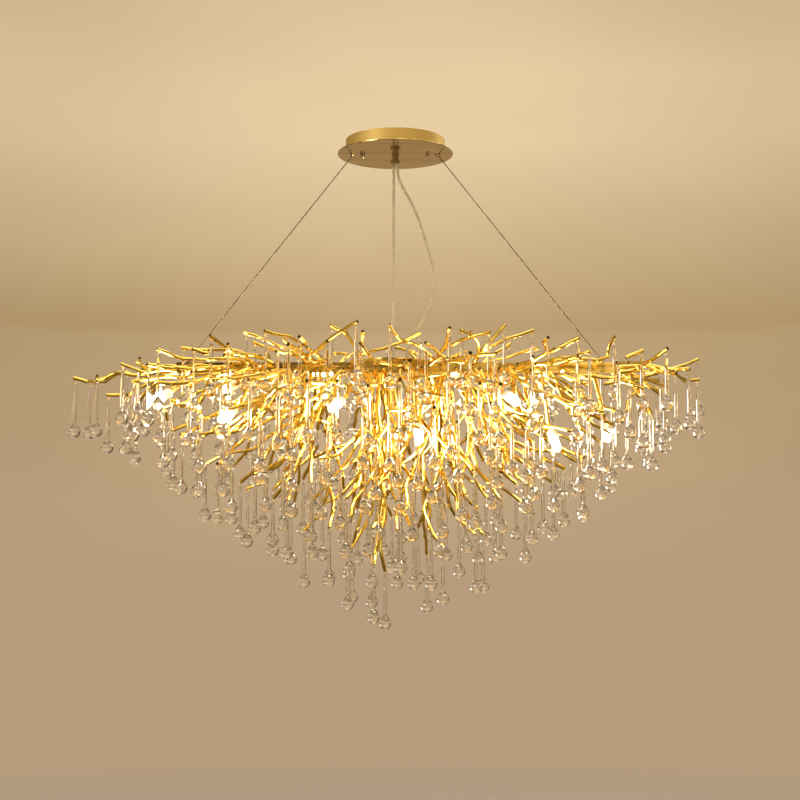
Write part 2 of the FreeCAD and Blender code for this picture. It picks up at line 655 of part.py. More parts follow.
def drop_shape():
    """A drawn glass drop below the ring's lowest wire: an eye, a thin neck and a round end."""
    play = mm("ring_play")
    eye = -(mm("drop_eye_radius") - mm("drop_eye_wire") - mm("ring_wire") - play)
    ball = mm("drop_ball_radius")
    centre = eye - mm("drop_length") + ball
    neck_top = eye - mm("drop_eye_radius") + mm("drop_eye_wire") * 0.3
    waist = eye - mm("drop_neck_length")
    shoulder = math.radians(42)
    points = [
        Vector(0, 0, neck_top), Vector(mm("drop_neck_radius"), 0, neck_top),
        Vector(mm("drop_waist_radius"), 0, waist),
        Vector(ball * math.sin(shoulder), 0, centre + ball * math.cos(shoulder)),
        Vector(0, 0, centre - ball),
    ]
    middle = points[2] * 0.5 + points[3] * 0.5
    hollow = middle + Vector(-0.15 * (points[3] - points[2]).Length, 0, 0)
    low = math.radians(110)
    edges = [
        Part.LineSegment(points[0], points[1]).toShape(),
        Part.LineSegment(points[1], points[2]).toShape(),
        Part.Arc(points[2], hollow, points[3]).toShape(),
        Part.Arc(points[3], Vector(ball * math.sin(low), 0, centre + ball * math.cos(low)), points[4]).toShape(),
        Part.LineSegment(points[4], points[0]).toShape(),
    ]
    solid = Part.Face(Part.Wire(edges)).revolve(Vector(0, 0, 0), UP, 360)
    loop = Part.makeTorus(mm("drop_eye_radius"), mm("drop_eye_wire"), Vector(0, 0, eye), Vector(0, 1, 0))
    return solid.fuse(loop)


def drop_bars(hinge, heading=None, angle=0):
    """The room that a drop takes, as bars: its eye, its neck and its round end."""
    down = Vector(0, 0, -1)
    if angle:
        down = Vector(heading.x * math.sin(angle), heading.y * math.sin(angle), -math.cos(angle))
    ball = mm("drop_ball_radius")
    end = mm("drop_length") + mm("drop_eye_radius") - ball
    ring = mm("ring_radius") + mm("ring_wire")
    waist = mm("drop_neck_length")
    return [
        (hinge + UP * 2 * mm("ring_radius") if not angle else hinge, hinge + down * 8, ring),
        (hinge + down * 8, hinge + down * waist, mm("drop_waist_radius")),
        (hinge + down * (waist + 8), hinge + down * (end - ball), ball * 0.62),
        (hinge + down * (end - 4), hinge + down * end, ball),
    ]


class Tip:
    """The end of a twig with its eye, and the ring and drop that hang from it."""

    def __init__(self, end, way, radius):
        level = math.hypot(way.x, way.y)
        flat = Vector(way.x, way.y, 0)
        if level < 0.2:
            flat = Vector(end.x, end.y, 0) if math.hypot(end.x, end.y) > 1 else Vector(1, 0, 0)
        self.heading = flat.normalize()
        self.across = self.heading.cross(UP)
        # a steep twig has its eye on the cut end, a flat one on its underside
        stand = mm("eye_radius") - mm("eye_wire") * 0.5
        if way.z < -0.45:
            self.eye = end + way * stand
        else:
            self.eye = end - way * mm("tip_inset") - UP * (radius / level + stand)
        slack = mm("eye_radius") - mm("eye_wire") - mm("ring_wire") - mm("ring_play")
        self.ring = self.eye - UP * (slack + mm("ring_radius"))
        self.hinge = self.ring - UP * mm("ring_radius")
        self.swings = False

    def eye_solid(self):
        return Part.makeTorus(mm("eye_radius"), mm("eye_wire"), self.eye, self.across)

    def ring_solid(self):
        return Part.makeTorus(mm("ring_radius"), mm("ring_wire"), self.ring, self.heading)

    def bars(self):
        angles = [0]
        if self.swings:
            swing = math.radians(mm("swing_angle"))
            angles = [-swing, -swing / 2, 0, swing / 2, swing]
        return [bar for angle in angles for bar in drop_bars(self.hinge, self.heading, angle)]

    def drop(self, template):
        glass = template.copy()
        turn = math.degrees(math.atan2(self.heading.y, self.heading.x))
        glass.Placement = Placement(self.hinge, Rotation(UP, turn))
        return glass


# ---------------------------------------------------------------- twigs


def oval_points(half_length, half_width, count, shift):
    """Points at even distances along an oval, as angles."""
    steps = 720
    marks = [0.0]
    for n in range(steps):
        angle = 2 * math.pi * (n + 0.5) / steps
        marks.append(marks[-1] + math.hypot(half_length * math.sin(angle), half_width * math.cos(angle)))
    angles = []
    for n in range(count):
        goal = (n + shift) % count / count * marks[-1]
        place = next(k for k in range(1, steps + 1) if marks[k] >= goal)
        angles.append(2 * math.pi * place / steps)
    return angles


def wander(start, leave, end, arrive, dice):
    """A wavering line of points: straight out of its root, a slow curve, uneven knees."""
    first = start + leave * mm("root_run") * dice.uniform(0.85, 1.15)
    span = (end - first).Length
    steps = max(2, round(span / mm("knee_spacing")))
    lead = first + leave * span * 0.3
    trail = end - arrive * span * 0.3
    points = [start, first]
    for n in range(1, steps):
        share = n / steps
        rest = 1 - share
        point = first * rest ** 3 + lead * (3 * rest * rest * share)
        point = point + trail * (3 * rest * share * share) + end * share ** 3
        nudge = Vector(dice.gauss(0, 1), dice.gauss(0, 1), dice.gauss(0, 1))
        axis = (end - first).normalize()
        nudge = nudge - axis * nudge.dot(axis)
        points.append(point + nudge.normalize() * mm("waver") * dice.uniform(0.6, 1.25))
    points.append(end)
    return points


def bends_gently(points, limit=58):
    """No corner is sharper than the limit, and no corner is dead straight."""
    for before, corner, after in zip(points, points[1:], points[2:]):
        turn = math.degrees((corner - before).getAngle(after - corner))
        if turn > limit or turn < 0.5 or (after - corner).Length < 8:
            return False
    return True


def near(target, attempt, dice):
    """A place close to a wanted one, that may stray a little further with each attempt."""
    return target + Vector(dice.gauss(0, 1), dice.gauss(0, 1), dice.gauss(0, 1)) * (2 + attempt * 0.25)


def path_is_free(thicket, points, radius, skip, from_spine):
    passed = rounded_path(points)[2]
    for number, (start, end) in enumerate(zip(passed, passed[1:])):
        if not thicket.is_free(start, end, radius, skip):
            return False
        clear = radius + thicket.gap
        if (number or not from_spine) and min(spine_box_distance(start), spine_box_distance(end)) < clear:
            return False
    return True


def root_slots(tier, side, end_on):
    """Where on the spine a tier's stems may stand: the row's offset, its height and its direction."""
    half_width, inset = mm("spine_width") / 2, mm("root_inset")
    upper = SPINE_TOP - mm("spine_wall") - inset
    lower = SPINE_TOP - mm("spine_height") + inset
    if end_on:
        pitch = mm("root_pitch") * 1.1
        columns = range(2, -1, -1) if side > 0 else range(-2, 1)
        return [(column * pitch, level, "end") for column in columns for level in (upper, lower)]
    if tier < 1:
        return [(side * half_width, upper, "side")]
    if tier < 4:
        return [(side * half_width, lower, "side"), (side * half_width, upper, "side")]
    rows = (half_width - inset, (half_width - inset) / 3)
    return [(side * row, SPINE_TOP - mm("spine_height"), "foot") for row in (rows if tier < 7 else rows[::-1])]


def stem_roots(target, tier, used):
    """The free places on the spine nearest to the foot of a tip: row, place along it, start, direction."""
    half = mm("spine_length") / 2
    pitch = mm("root_pitch")
    side = 1 if target.y >= 0 else -1
    wanted = target.x / (mm("oval_length") / 2) * (half - mm("root_inset") * 2)
    places = []
    for offset, level, face in root_slots(tier, side, abs(target.x) > half * 1.12):
        if face == "end":
            out = 1 if target.x > 0 else -1
            row = (out, round(offset), round(level), face)
            if not used.get(row):
                places.append((row, 0, Vector(out * half, offset, level), Vector(out, 0, 0)))
            continue
        row = (round(offset), round(level), face)
        out = Vector(0, side, 0) if face == "side" else Vector(0, 0, -1)
        for step in range(13):
            place = wanted + (step + 1) // 2 * (1 if step % 2 else -1) * pitch
            free = all(abs(place - other) >= pitch for other in used.get(row, []))
            if free and abs(place) < half - mm("root_inset"):
                places.append((row, place, Vector(place, offset, level), out))
    return places


def tier_targets(dice):
    """The tips' places tier by tier, from the crown over the rim to the lowest point."""
    half_length, half_width = mm("oval_length") / 2, mm("oval_width") / 2
    tiers = []
    for reach, rise, spacing in ((0.86, 1.0, "crown_spacing"), (0.5, 1.25, "crown_spacing")):
        tiers.append((-1, reach, SPINE_TOP + mm("crown_rise") * rise, mm(spacing)))
    count = int(mm("tier_count"))
    for number in range(count):
        share = number / (count - 1)
        level = SPINE_TOP - mm("rim_drop") - mm("cluster_depth") * share
        tiers.append((number, (1 - share) ** 0.85, level, mm("tip_spacing")))
    plan = []
    for order, (tier, reach, level, spacing) in enumerate(tiers):
        girth = 2 * math.pi * math.sqrt((half_length ** 2 + half_width ** 2) / 2) * reach
        number = max(1, round(girth / spacing))
        angles = oval_points(half_length, half_width, number, 0.37 * order)
        tips = []
        for angle in angles:
            spread = reach * dice.uniform(0.95, 1.04)
            angle += dice.uniform(-0.18, 0.18) * 2 * math.pi / number
            x, y = half_length * spread * math.cos(angle), half_width * spread * math.sin(angle)
            lift = dice.uniform(-16, 14)
            if tier < 0:
                lift -= mm("crown_rise") * 1.3 * (x / half_length) ** 2
            if tier == 0:
                lift -= 22 * abs(x / half_length) ** 3 - 8
            tips.append(Vector(x, y, level + lift))
        plan.append((tier, tips))
    return plan


def arrival(tier, target, dice):
    """The direction in which a twig reaches its tip."""
    out = Vector(target.x, target.y * 1.6, 0)
    out = out.normalize() if out.Length > 1 else Vector(1, 0, 0)
    count = mm("tier_count")
    tilt = 0.45 if tier < 0 else 0.15 - 1.5 * (tier / count) ** 1.3
    tilt += dice.uniform(-0.3, 0.3)
    turn = Rotation(UP, dice.uniform(-24, 24))
    return turn.multVec(out + UP * tilt).normalize()


def grow_branch(group, tier, thicket, used, dice, swings, owner):
    """One forked branch for a group of neighbouring tips, or None where there is no room."""
    lead = group[len(group) // 2]
    roots = stem_roots(lead, tier, used)
    radius = mm("stem_radius")
    for attempt in range(TRIES if roots else 0):
        row, place, start, leave = roots[min(len(roots) - 1, int(abs(dice.gauss(0, 1)) * attempt / 12))]
        points = wander(start, leave, near(lead, attempt, dice), arrival(tier, lead, dice), dice)
        if not bends_gently(points) or not path_is_free(thicket, points, radius, (), True):
            continue
        tip = Tip(points[-1], (points[-1] - points[-2]).normalize(), radius)
        tip.swings = swings
        own = list(zip(points[:-2], points[1:-1]))
        if all(thicket.is_free(*bar) for bar in tip.bars()) and drop_clears(tip, own):
            used.setdefault(row, []).append(place)
            break
    else:
        return None
    tips, rods = [tip], [(points, radius)]
    claim(thicket, points, radius, tip, owner)
    for number, target in enumerate(g for g in group if g is not lead):
        twig = grow_twig(points, target, number, tier, thicket, dice, owner)
        if twig:
            tips.append(twig[1])
            rods.append((twig[0], mm("twig_radius")))
            claim(thicket, twig[0], mm("twig_radius"), twig[1], owner)
    return rods, tips


def grow_twig(stem, target, number, tier, thicket, dice, owner):
    """A side twig from the middle of one of the stem's runs to its own tip."""
    for attempt in range(TRIES):
        share = (0.45, 0.62)[number % 2] + dice.uniform(-0.08, 0.08)
        run = min(len(stem) - 2, max(1, int(share * (len(stem) - 1))))
        fork = (stem[run] + stem[run + 1]) * 0.5
        ahead = (stem[run + 1] - stem[run]).normalize()
        goal = near(target, attempt, dice)
        leave = (ahead + (goal - fork).normalize() * 0.9).normalize()
        if (goal - fork).Length < 45 or leave.getAngle(ahead) < math.radians(mm("fork_angle")):
            continue
        points = wander(fork, leave, goal, arrival(tier, target, dice), dice)
        if not bends_gently(points) or not path_is_free(thicket, points, mm("twig_radius"), (owner,), False):
            continue
        tip = Tip(points[-1], (points[-1] - points[-2]).normalize(), mm("twig_radius"))
        own = [(a, b) for a, b in zip(points[:-2], points[1:-1])]
        own += [(a, b) for a, b in zip(stem, stem[1:])]
        if all(thicket.is_free(*bar) for bar in tip.bars()) and drop_clears(tip, own):
            return points, tip
    return None


def brazed(rods, tips):
    """A stem and its twigs as solids of their own, each twig's foot shaped to what it is brazed on."""
    bare = [rod(*rods[0])]
    for twig in rods[1:]:
        fitted = rod(*twig).cut(bare)
        bare.append(max(fitted.Solids, key=lambda solid: solid.Volume))
    return [solid.fuse(tip.eye_solid()) for solid, tip in zip(bare, tips)]


def drop_clears(tip, own):
    """A drop keeps clear of its own branch and of the spine."""
    for start, end, radius in tip.bars()[1:]:
        for share in (0, 0.25, 0.5, 0.75, 1):
            if spine_box_distance(start + (end - start) * share) < radius + 1.5:
                return False
        for first, second in own:
            if between(tuple(start), tuple(end), tuple(first), tuple(second)) < radius + mm("stem_radius") + 1:
                return False
    return True


def claim(thicket, points, radius, tip, owner):
    passed = rounded_path(points)[2]
    for start, end in zip(passed, passed[1:]):
        thicket.add(start, end, radius, owner)
    for start, end, bar in tip.bars():
        thicket.add(start, end, bar, f"{owner} drop")


GROUPS = ("crown", "rim", "upper", "middle", "lower")


def group_of(tier):
    if tier < 1:
        return GROUPS[tier + 1]
    return "upper" if tier < 3 else "middle" if tier < 5 else "lower"


def grow_cluster(thicket):
    """Every forked branch, ring and drop, tier by tier."""
    dice = random.Random(41)
    used = {}
    branches = {name: [] for name in GROUPS}
    drops = {name: [] for name in GROUPS}
    swinging = []
    rings = []
    template = drop_shape()
    owner = 0
    for tier, targets in tier_targets(dice):
        groups = []
        while targets:
            size = 2 if len(groups) % 3 == 0 else 3
            groups.append(targets[:size])
            targets = targets[size:]
        for turn, group in enumerate(groups):
            owner += 1
            swings = turn in SWINGING.get(tier, ())
            grown = grow_branch(group, tier, thicket, used, dice, swings, f"branch {owner}")
            if grown is None:
                # no room for the whole fork: its tips are tried again one by one, later
                groups += [[target] for target in group if len(group) > 1]
                continue
            rods, tips = grown
            name = group_of(tier)
            branches[name] += brazed(rods, tips)
            rings += [tip.ring_solid() for tip in tips]
            for tip in tips:
                if tip.swings:
                    swinging.append(tip)
                else:
                    drops[name].append(tip.drop(template))
    for name in GROUPS:
        shaped(f"{name}_branches", Part.makeCompound(branches[name]))
        shaped(f"{name}_drops", Part.makeCompound(drops[name]))
        print(name, len(branches[name]), "branches", len(drops[name]), "fixed drops")
    shaped("jump_rings", Part.makeCompound(rings))
    for number, tip in enumerate(swinging, start=1):
        label = f"swinging_drop_{number:02d}"
        shaped(label, tip.drop(template))
        print("joint", label, tuple(tip.hinge), tuple(tip.across))


def build():
    canopy_drum()
    canopy_plate()
    ceiling_bracket()
    canopy_fasteners()
    terminal_block()
    cord_gland()
    canopy_lead()
    supply_cord()
    suspension()
    spine()
    thicket = Thicket(mm("air_gap"))
    for top, foot in cable_ends():
        thicket.add(top, foot, mm("cable_radius") + 2, "cable")
    top, foot = cable_ends()[2]
    thicket.add(top, foot, mm("sleeve_radius") + 2, "cable")
    thicket.add(Vector(0, 0, HUB_TOP), Vector(0, 0, HUB_TOP + 20), 30, "hub")
    route = cord_route()
    for start, end in zip(route, route[1:]):
        thicket.add(start, end, mm("cord_radius") + 4, "cord")
    half, around = mm("spine_length") / 2, mm("hub_radius")
    for step in range(24):
        edge = Vector(around, 0, HUB_TOP - mm("hub_thickness") / 2)
        turn = Rotation(UP, 15 * step)
        after = Rotation(UP, 15 * (step + 1))
        thicket.add(turn.multVec(edge), after.multVec(edge), mm("hub_thickness") / 2 + 1, "hub")
    for row in range(-8, 9):
        level, aside = HUB_TOP - mm("hub_thickness") / 2, row / 8.5 * around
        reach = math.sqrt(around ** 2 - aside ** 2)
        start, end = Vector(-reach, aside, level), Vector(reach, aside, level)
        thicket.add(start, end, mm("hub_thickness") / 2 + 1, "hub")
    for share in (-1, 1):
        post = Vector(share * mm("anchor_spacing") / 2, 0, SPINE_TOP)
        thicket.add(post, post + UP * mm("anchor_height"), mm("anchor_radius") + 1, "anchor")
    lamps(thicket)
    grow_cluster(thicket)


def write():
    doc.recompute()
    for feature in doc.Objects:
        if "Invalid" in feature.State or "Error" in feature.State:
            raise RuntimeError(f"{feature.Label} did not build: {feature.State}")
    for feature in subparts:
        if feature.Shape.isNull() or not feature.Shape.isValid():
            raise RuntimeError(f"{feature.Label} has no sound shape")
    os.makedirs("parts", exist_ok=True)
    for feature in subparts:
        feature.Shape.exportStep(f"parts/{feature.Label}.step")
    print(len(subparts), "sub-parts")


build()
write()
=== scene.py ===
import json
import math
import random

import bmesh
import bpy
import numpy as np
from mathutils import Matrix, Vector, noise


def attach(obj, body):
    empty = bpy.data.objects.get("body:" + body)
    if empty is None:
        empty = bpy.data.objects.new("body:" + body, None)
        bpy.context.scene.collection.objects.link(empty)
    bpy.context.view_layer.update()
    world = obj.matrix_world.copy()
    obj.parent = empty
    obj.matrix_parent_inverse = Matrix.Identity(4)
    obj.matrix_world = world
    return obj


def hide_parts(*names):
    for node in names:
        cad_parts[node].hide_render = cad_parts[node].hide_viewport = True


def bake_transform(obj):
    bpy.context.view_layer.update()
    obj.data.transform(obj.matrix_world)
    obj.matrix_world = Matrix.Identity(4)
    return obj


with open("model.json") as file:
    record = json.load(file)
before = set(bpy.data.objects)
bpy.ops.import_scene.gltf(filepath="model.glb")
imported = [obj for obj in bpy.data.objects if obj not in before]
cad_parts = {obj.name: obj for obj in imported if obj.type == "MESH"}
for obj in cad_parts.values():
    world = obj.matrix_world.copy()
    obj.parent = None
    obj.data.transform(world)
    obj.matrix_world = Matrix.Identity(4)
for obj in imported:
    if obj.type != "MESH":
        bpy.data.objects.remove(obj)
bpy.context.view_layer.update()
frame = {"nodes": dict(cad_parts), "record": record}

# A long oval chandelier of gilt twigs and glass drops, on three cables under a ceiling canopy.
# The origin is the middle of the canopy's ceiling face, +Z up, the long side along X. Metres.

nodes = frame["nodes"]
branchNodes = [name for name in nodes if name.endswith("_branches")]
dropNodes = [name for name in nodes if name.endswith("_drops")]
swingingNodes = sorted(name for name in nodes if name.startswith("swinging_drop"))
bulbNodes = sorted(name for name in nodes if name.startswith("bulb"))


# ---- camera, lamps, floor and background

camera = {
    "place": (0.009, -3.0, -0.826),
    "pitch": 6.2,  # degrees up
    "lens": 72,
    "sensor": 36,
}

room = {
    "floorLevel": -1.62,
    "floorRadius": 30,
    "floorFades": (2.2, 4.6),  # how far out the floor runs into the background
    "viewTop": 0.4,  # the walls' colours are spread from eye level up to this slope
    "horizonColour": (0.47, 0.335, 0.205),  # the wall at eye level
    "wallColour": (0.455, 0.315, 0.165),  # and higher, up to the corner with the ceiling
    "cornerColour": (0.43, 0.29, 0.145),
    "ceilingColour": (0.66, 0.505, 0.305),
    "nearCeiling": (0.57, 0.42, 0.26),
    "middleGlow": 0.2,  # how much lighter the room is behind the chandelier than at its sides
    "glowSides": (0.27, 0.02),
    "glowFrom": 0.06,
    "cloudiness": 0.07,
    "cloudStretch": (7, 7, 22),
    "wallsInMetal": 0.6,
    "aheadInMetal": (-0.35, 0.25),  # the walls begin between these two shares of the way forward
    "aheadInGlass": (0.46, 0.9),
    "darkSide": (0.035, 0.02, 0.01),  # what metal sees behind the viewer, between the lit parts
    "litSide": (1.8, 1.4, 0.8),
    "litScale": 2.6,
    "litShare": (0.53, 0.62),
    "glassSide": (0.055, 0.03, 0.012),  # what glass sees at its edges
    "floorColour": (0.66, 0.58, 0.48),
    "floorMirrored": (0.05, 0.03, 0.014),  # the floor as metal sees it, between its lit parts
    "floorLit": (0.40, 0.28, 0.12),
    "floorLitScale": 1.6,
    "floorLitShare": (0.44, 0.60),
    "floorInGlass": (0.40, 0.30, 0.20),
    "fillColour": (1.0, 0.93, 0.83),
    "fillStrength": 0.42,
}

studioLamps = [
    # name, place, aim, size, watts, colour
    ("overhead", (0.2, 0.1, 1.5), (0, 0, -0.6), 2.4, 34, (1.0, 0.93, 0.80)),
    ("keyLeft", (-2.4, -2.2, 0.5), (0, 0, -0.5), 1.2, 26, (1.0, 0.95, 0.88)),
    ("rimRight", (2.6, 1.6, 0.2), (0, 0, -0.6), 1.0, 16, (1.0, 0.92, 0.80)),
    ("lowFront", (0.6, -2.6, -1.5), (0, 0, -0.55), 1.0, 6, (1.0, 0.90, 0.78)),
]


def placed(name, data):
    made = bpy.data.objects.new(name, data)
    bpy.context.scene.collection.objects.link(made)
    return made


def addCamera():
    data = bpy.data.cameras.new("camera")
    data.lens = camera["lens"]
    data.sensor_width = camera["sensor"]
    data.clip_end = 100
    eye = placed("camera", data)
    eye.location = camera["place"]
    eye.rotation_euler = (math.radians(90 + camera["pitch"]), 0, 0)
    bpy.context.scene.camera = eye


def addLamps():
    for name, place, aim, size, watts, colour in studioLamps:
        data = bpy.data.lights.new(name, "AREA")
        data.size = size
        data.energy = watts
        data.color = colour
        lamp = placed(name, data)
        lamp.location = place
        lamp.rotation_euler = (Vector(aim) - Vector(place)).to_track_quat("-Z", "Y").to_euler()


# the functions below add one node each: what they are given is an output, which is linked, or a value


def node(tree, kind, **values):
    made = tree.nodes.new(kind)
    for name, value in values.items():
        setattr(made, name, value)
    return made


def feed(tree, given, socket):
    if isinstance(given, bpy.types.NodeSocket):
        tree.links.new(given, socket)
    elif socket.type == "RGBA":
        socket.default_value = (*given, 1)
    else:
        socket.default_value = given


def maths(tree, operation, *given):
    made = node(tree, "ShaderNodeMath", operation=operation)
    for value, socket in zip(given, made.inputs):
        feed(tree, value, socket)
    return made.outputs[0]


def vectorMaths(tree, operation, first, second):
    made = node(tree, "ShaderNodeVectorMath", operation=operation)
    feed(tree, first, made.inputs[0])
    feed(tree, second, made.inputs["Scale" if operation == "SCALE" else 1])
    return made.outputs[0]


def ranged(tree, value, given, result=(0, 1), kind="LINEAR"):
    made = node(tree, "ShaderNodeMapRange", interpolation_type=kind)
    feed(tree, value, made.inputs["Value"])
    for limit, label in zip((*given, *result), ("From Min", "From Max", "To Min", "To Max")):
        feed(tree, limit, made.inputs[label])
    return made.outputs[0]


def softNoise(tree, place, scale, detail):
    made = node(tree, "ShaderNodeTexNoise")
    feed(tree, place, made.inputs["Vector"])
    feed(tree, scale, made.inputs["Scale"])
    feed(tree, detail, made.inputs["Detail"])
    return made.outputs[0]


def mixed(tree, share, first, second):
    made = node(tree, "ShaderNodeMix", data_type="RGBA")
    feed(tree, share, made.inputs[0])
    feed(tree, first, made.inputs[6])
    feed(tree, second, made.inputs[7])
    return made.outputs[2]


def mixedShader(tree, share, first, second):
    made = node(tree, "ShaderNodeMixShader")
    for value, socket in zip((share, first, second), made.inputs):
        feed(tree, value, socket)
    return made.outputs[0]


def ramp(tree, factor, stops):
    made = node(tree, "ShaderNodeValToRGB")
    line = made.color_ramp
    line.elements[0].position, line.elements[0].color = stops[0][0], (*stops[0][1], 1)
    line.elements[1].position, line.elements[1].color = stops[-1][0], (*stops[-1][1], 1)
    for place, colour in stops[1:-1]:
        line.elements.new(place).color = (*colour, 1)
    feed(tree, factor, made.inputs["Fac"])
    return made.outputs["Color"]


def addWorld():
    world = bpy.data.worlds.new("room")
    bpy.context.scene.world = world
    world.use_nodes = True
    tree = world.node_tree
    tree.nodes.clear()
    direction = node(tree, "ShaderNodeTexCoord").outputs["Generated"]
    parts = node(tree, "ShaderNodeSeparateXYZ")
    feed(tree, direction, parts.inputs[0])
    aside, forward, rise = (parts.outputs[label] for label in "XYZ")
    walls = ramp(tree, ranged(tree, rise, (0, room["viewTop"])), [
        (0, room["horizonColour"]), (0.365, room["wallColour"]), (0.38, room["cornerColour"]),
        (0.66, room["ceilingColour"]), (0.75, room["ceilingColour"]), (0.92, room["nearCeiling"]),
    ])
    # the room is lighter behind the chandelier, and clouded by soft light
    glow = ranged(tree, maths(tree, "ABSOLUTE", aside), room["glowSides"], (0, room["middleGlow"]),
                  "SMOOTHSTEP")
    above = ranged(tree, rise, (0, room["glowFrom"]))
    clouds = softNoise(tree, vectorMaths(tree, "MULTIPLY", direction, room["cloudStretch"]), 1.0, 1.0)
    cloud = ranged(tree, clouds, (0, 1), (-room["cloudiness"], room["cloudiness"]))
    light = maths(tree, "ADD", maths(tree, "MULTIPLY", glow, above),
                  maths(tree, "MULTIPLY_ADD", cloud, above, 1.0))
    backdrop = vectorMaths(tree, "SCALE", walls, light)
    # metal sees the same walls, and behind the viewer a dark room with lit parts
    behind = ramp(tree, softNoise(tree, direction, room["litScale"], 1.0),
                  list(zip(room["litShare"], (room["darkSide"], room["litSide"]))))
    inMetal = mixed(tree, ranged(tree, forward, room["aheadInMetal"]), behind,
                    vectorMaths(tree, "SCALE", backdrop, room["wallsInMetal"]))
    # glass sees them darken to the sides, which draws the edges of the drops
    inGlass = mixed(tree, ranged(tree, forward, room["aheadInGlass"]), room["glassSide"], backdrop)
    paths = node(tree, "ShaderNodeLightPath").outputs
    seen = mixed(tree, paths["Is Glossy Ray"], backdrop, inMetal)
    seen = mixed(tree, paths["Is Transmission Ray"], seen, inGlass)
    anySight = maths(tree, "MAXIMUM", paths["Is Glossy Ray"], paths["Is Transmission Ray"])
    anySight = maths(tree, "MAXIMUM", paths["Is Camera Ray"], anySight)
    fill = node(tree, "ShaderNodeBackground")
    feed(tree, room["fillColour"], fill.inputs["Color"])
    feed(tree, room["fillStrength"], fill.inputs["Strength"])
    view = node(tree, "ShaderNodeBackground")
    feed(tree, seen, view.inputs["Color"])
    chosen = mixedShader(tree, anySight, fill.outputs[0], view.outputs[0])
    feed(tree, chosen, node(tree, "ShaderNodeOutputWorld").inputs["Surface"])


def addFloor():
    mesh = bpy.data.meshes.new("floor")
    form = bmesh.new()
    bmesh.ops.create_circle(form, cap_ends=True, segments=64, radius=room["floorRadius"])
    bmesh.ops.translate(form, verts=form.verts, vec=(0, 0, room["floorLevel"]))
    form.to_mesh(mesh)
    form.free()
    floor = placed("floor", mesh)
    skin = bpy.data.materials.new("floorPaint")
    skin.use_nodes = True
    tree = skin.node_tree
    tree.nodes.clear()
    paths = node(tree, "ShaderNodeLightPath").outputs
    place = node(tree, "ShaderNodeTexCoord").outputs["Object"]
    mirrored = ramp(tree, softNoise(tree, place, room["floorLitScale"], 1.0),
                    list(zip(room["floorLitShare"], (room["floorMirrored"], room["floorLit"]))))
    seen = mixed(tree, paths["Is Glossy Ray"], room["floorColour"], mirrored)
    seen = mixed(tree, paths["Is Transmission Ray"], seen, room["floorInGlass"])
    paint = node(tree, "ShaderNodeBsdfDiffuse")
    feed(tree, seen, paint.inputs["Color"])
    # far from the chandelier the floor runs into the background without a line
    far = node(tree, "ShaderNodeEmission")
    feed(tree, room["horizonColour"], far.inputs["Color"])
    reach = node(tree, "ShaderNodeVectorMath", operation="LENGTH")
    feed(tree, place, reach.inputs[0])
    edge = ranged(tree, reach.outputs["Value"], room["floorFades"], kind="SMOOTHSTEP")
    surface = mixedShader(tree, edge, paint.outputs[0], far.outputs[0])
    feed(tree, surface, node(tree, "ShaderNodeOutputMaterial").inputs["Surface"])
    mesh.materials.append(skin)


addCamera()
addLamps()
addWorld()
addFloor()
bpy.context.scene.view_settings.view_transform = "Standard"
print("camera, lamps and floor")


# ---- shader groups that several finishes share


def surfaceGroup(name, inputs):
    group = bpy.data.node_groups.new(name, "ShaderNodeTree")
    for label, kind, value in inputs:
        socket = group.interface.new_socket(label, in_out="INPUT", socket_type=kind)
        socket.default_value = value
    for label, kind in (("Colour", "Color"), ("Roughness", "Float"), ("Height", "Float")):
        group.interface.new_socket(label, in_out="OUTPUT", socket_type=f"NodeSocket{kind}")
    place = node(group, "ShaderNodeTexCoord").outputs["Object"]
    return group, place, node(group, "NodeGroupInput").outputs, node(group, "NodeGroupOutput").inputs


def platingGroup():
    group, place, given, result = surfaceGroup("plating", [
        ("Colour", "NodeSocketColor", (0.8, 0.6, 0.3, 1)),
        ("Deep Colour", "NodeSocketColor", (0.5, 0.3, 0.1, 1)),
        ("Patch Scale", "NodeSocketFloat", 60.0), ("Grain Scale", "NodeSocketFloat", 700.0),
        ("Roughness", "NodeSocketFloat", 0.2), ("Roughness Spread", "NodeSocketFloat", 0.1),
    ])
    patches = softNoise(group, place, given["Patch Scale"], 4)
    grain = softNoise(group, place, given["Grain Scale"], 2)
    steep = ranged(group, patches, (0.35, 0.65), kind="SMOOTHSTEP")
    rough = maths(group, "MULTIPLY_ADD", grain, given["Roughness Spread"], given["Roughness"])
    feed(group, mixed(group, steep, given["Deep Colour"], given["Colour"]), result["Colour"])
    feed(group, rough, result["Roughness"])
    feed(group, maths(group, "MULTIPLY_ADD", patches, 3.0, grain), result["Height"])
    return group


def brushingGroup():
    group, place, given, result = surfaceGroup("brushing", [
        ("Colour", "NodeSocketColor", (0.7, 0.55, 0.3, 1)),
        ("Line Colour", "NodeSocketColor", (0.5, 0.4, 0.2, 1)),
        ("Stretch", "NodeSocketVector", (8.0, 900.0, 900.0)), ("Roughness", "NodeSocketFloat", 0.3),
    ])
    lines = softNoise(group, vectorMaths(group, "MULTIPLY", place, given["Stretch"]), 1.0, 5)
    clear = ranged(group, lines, (0.36, 0.64))
    feed(group, mixed(group, clear, given["Line Colour"], given["Colour"]), result["Colour"])
    feed(group, maths(group, "MULTIPLY_ADD", lines, 0.16, given["Roughness"]), result["Roughness"])
    feed(group, lines, result["Height"])
    return group


plating = platingGroup()
brushing = brushingGroup()


def startMaterial(name):
    material = bpy.data.materials.new(name)
    material.use_nodes = True
    tree = material.node_tree
    surface = tree.nodes["Principled BSDF"]
    return material, tree, surface


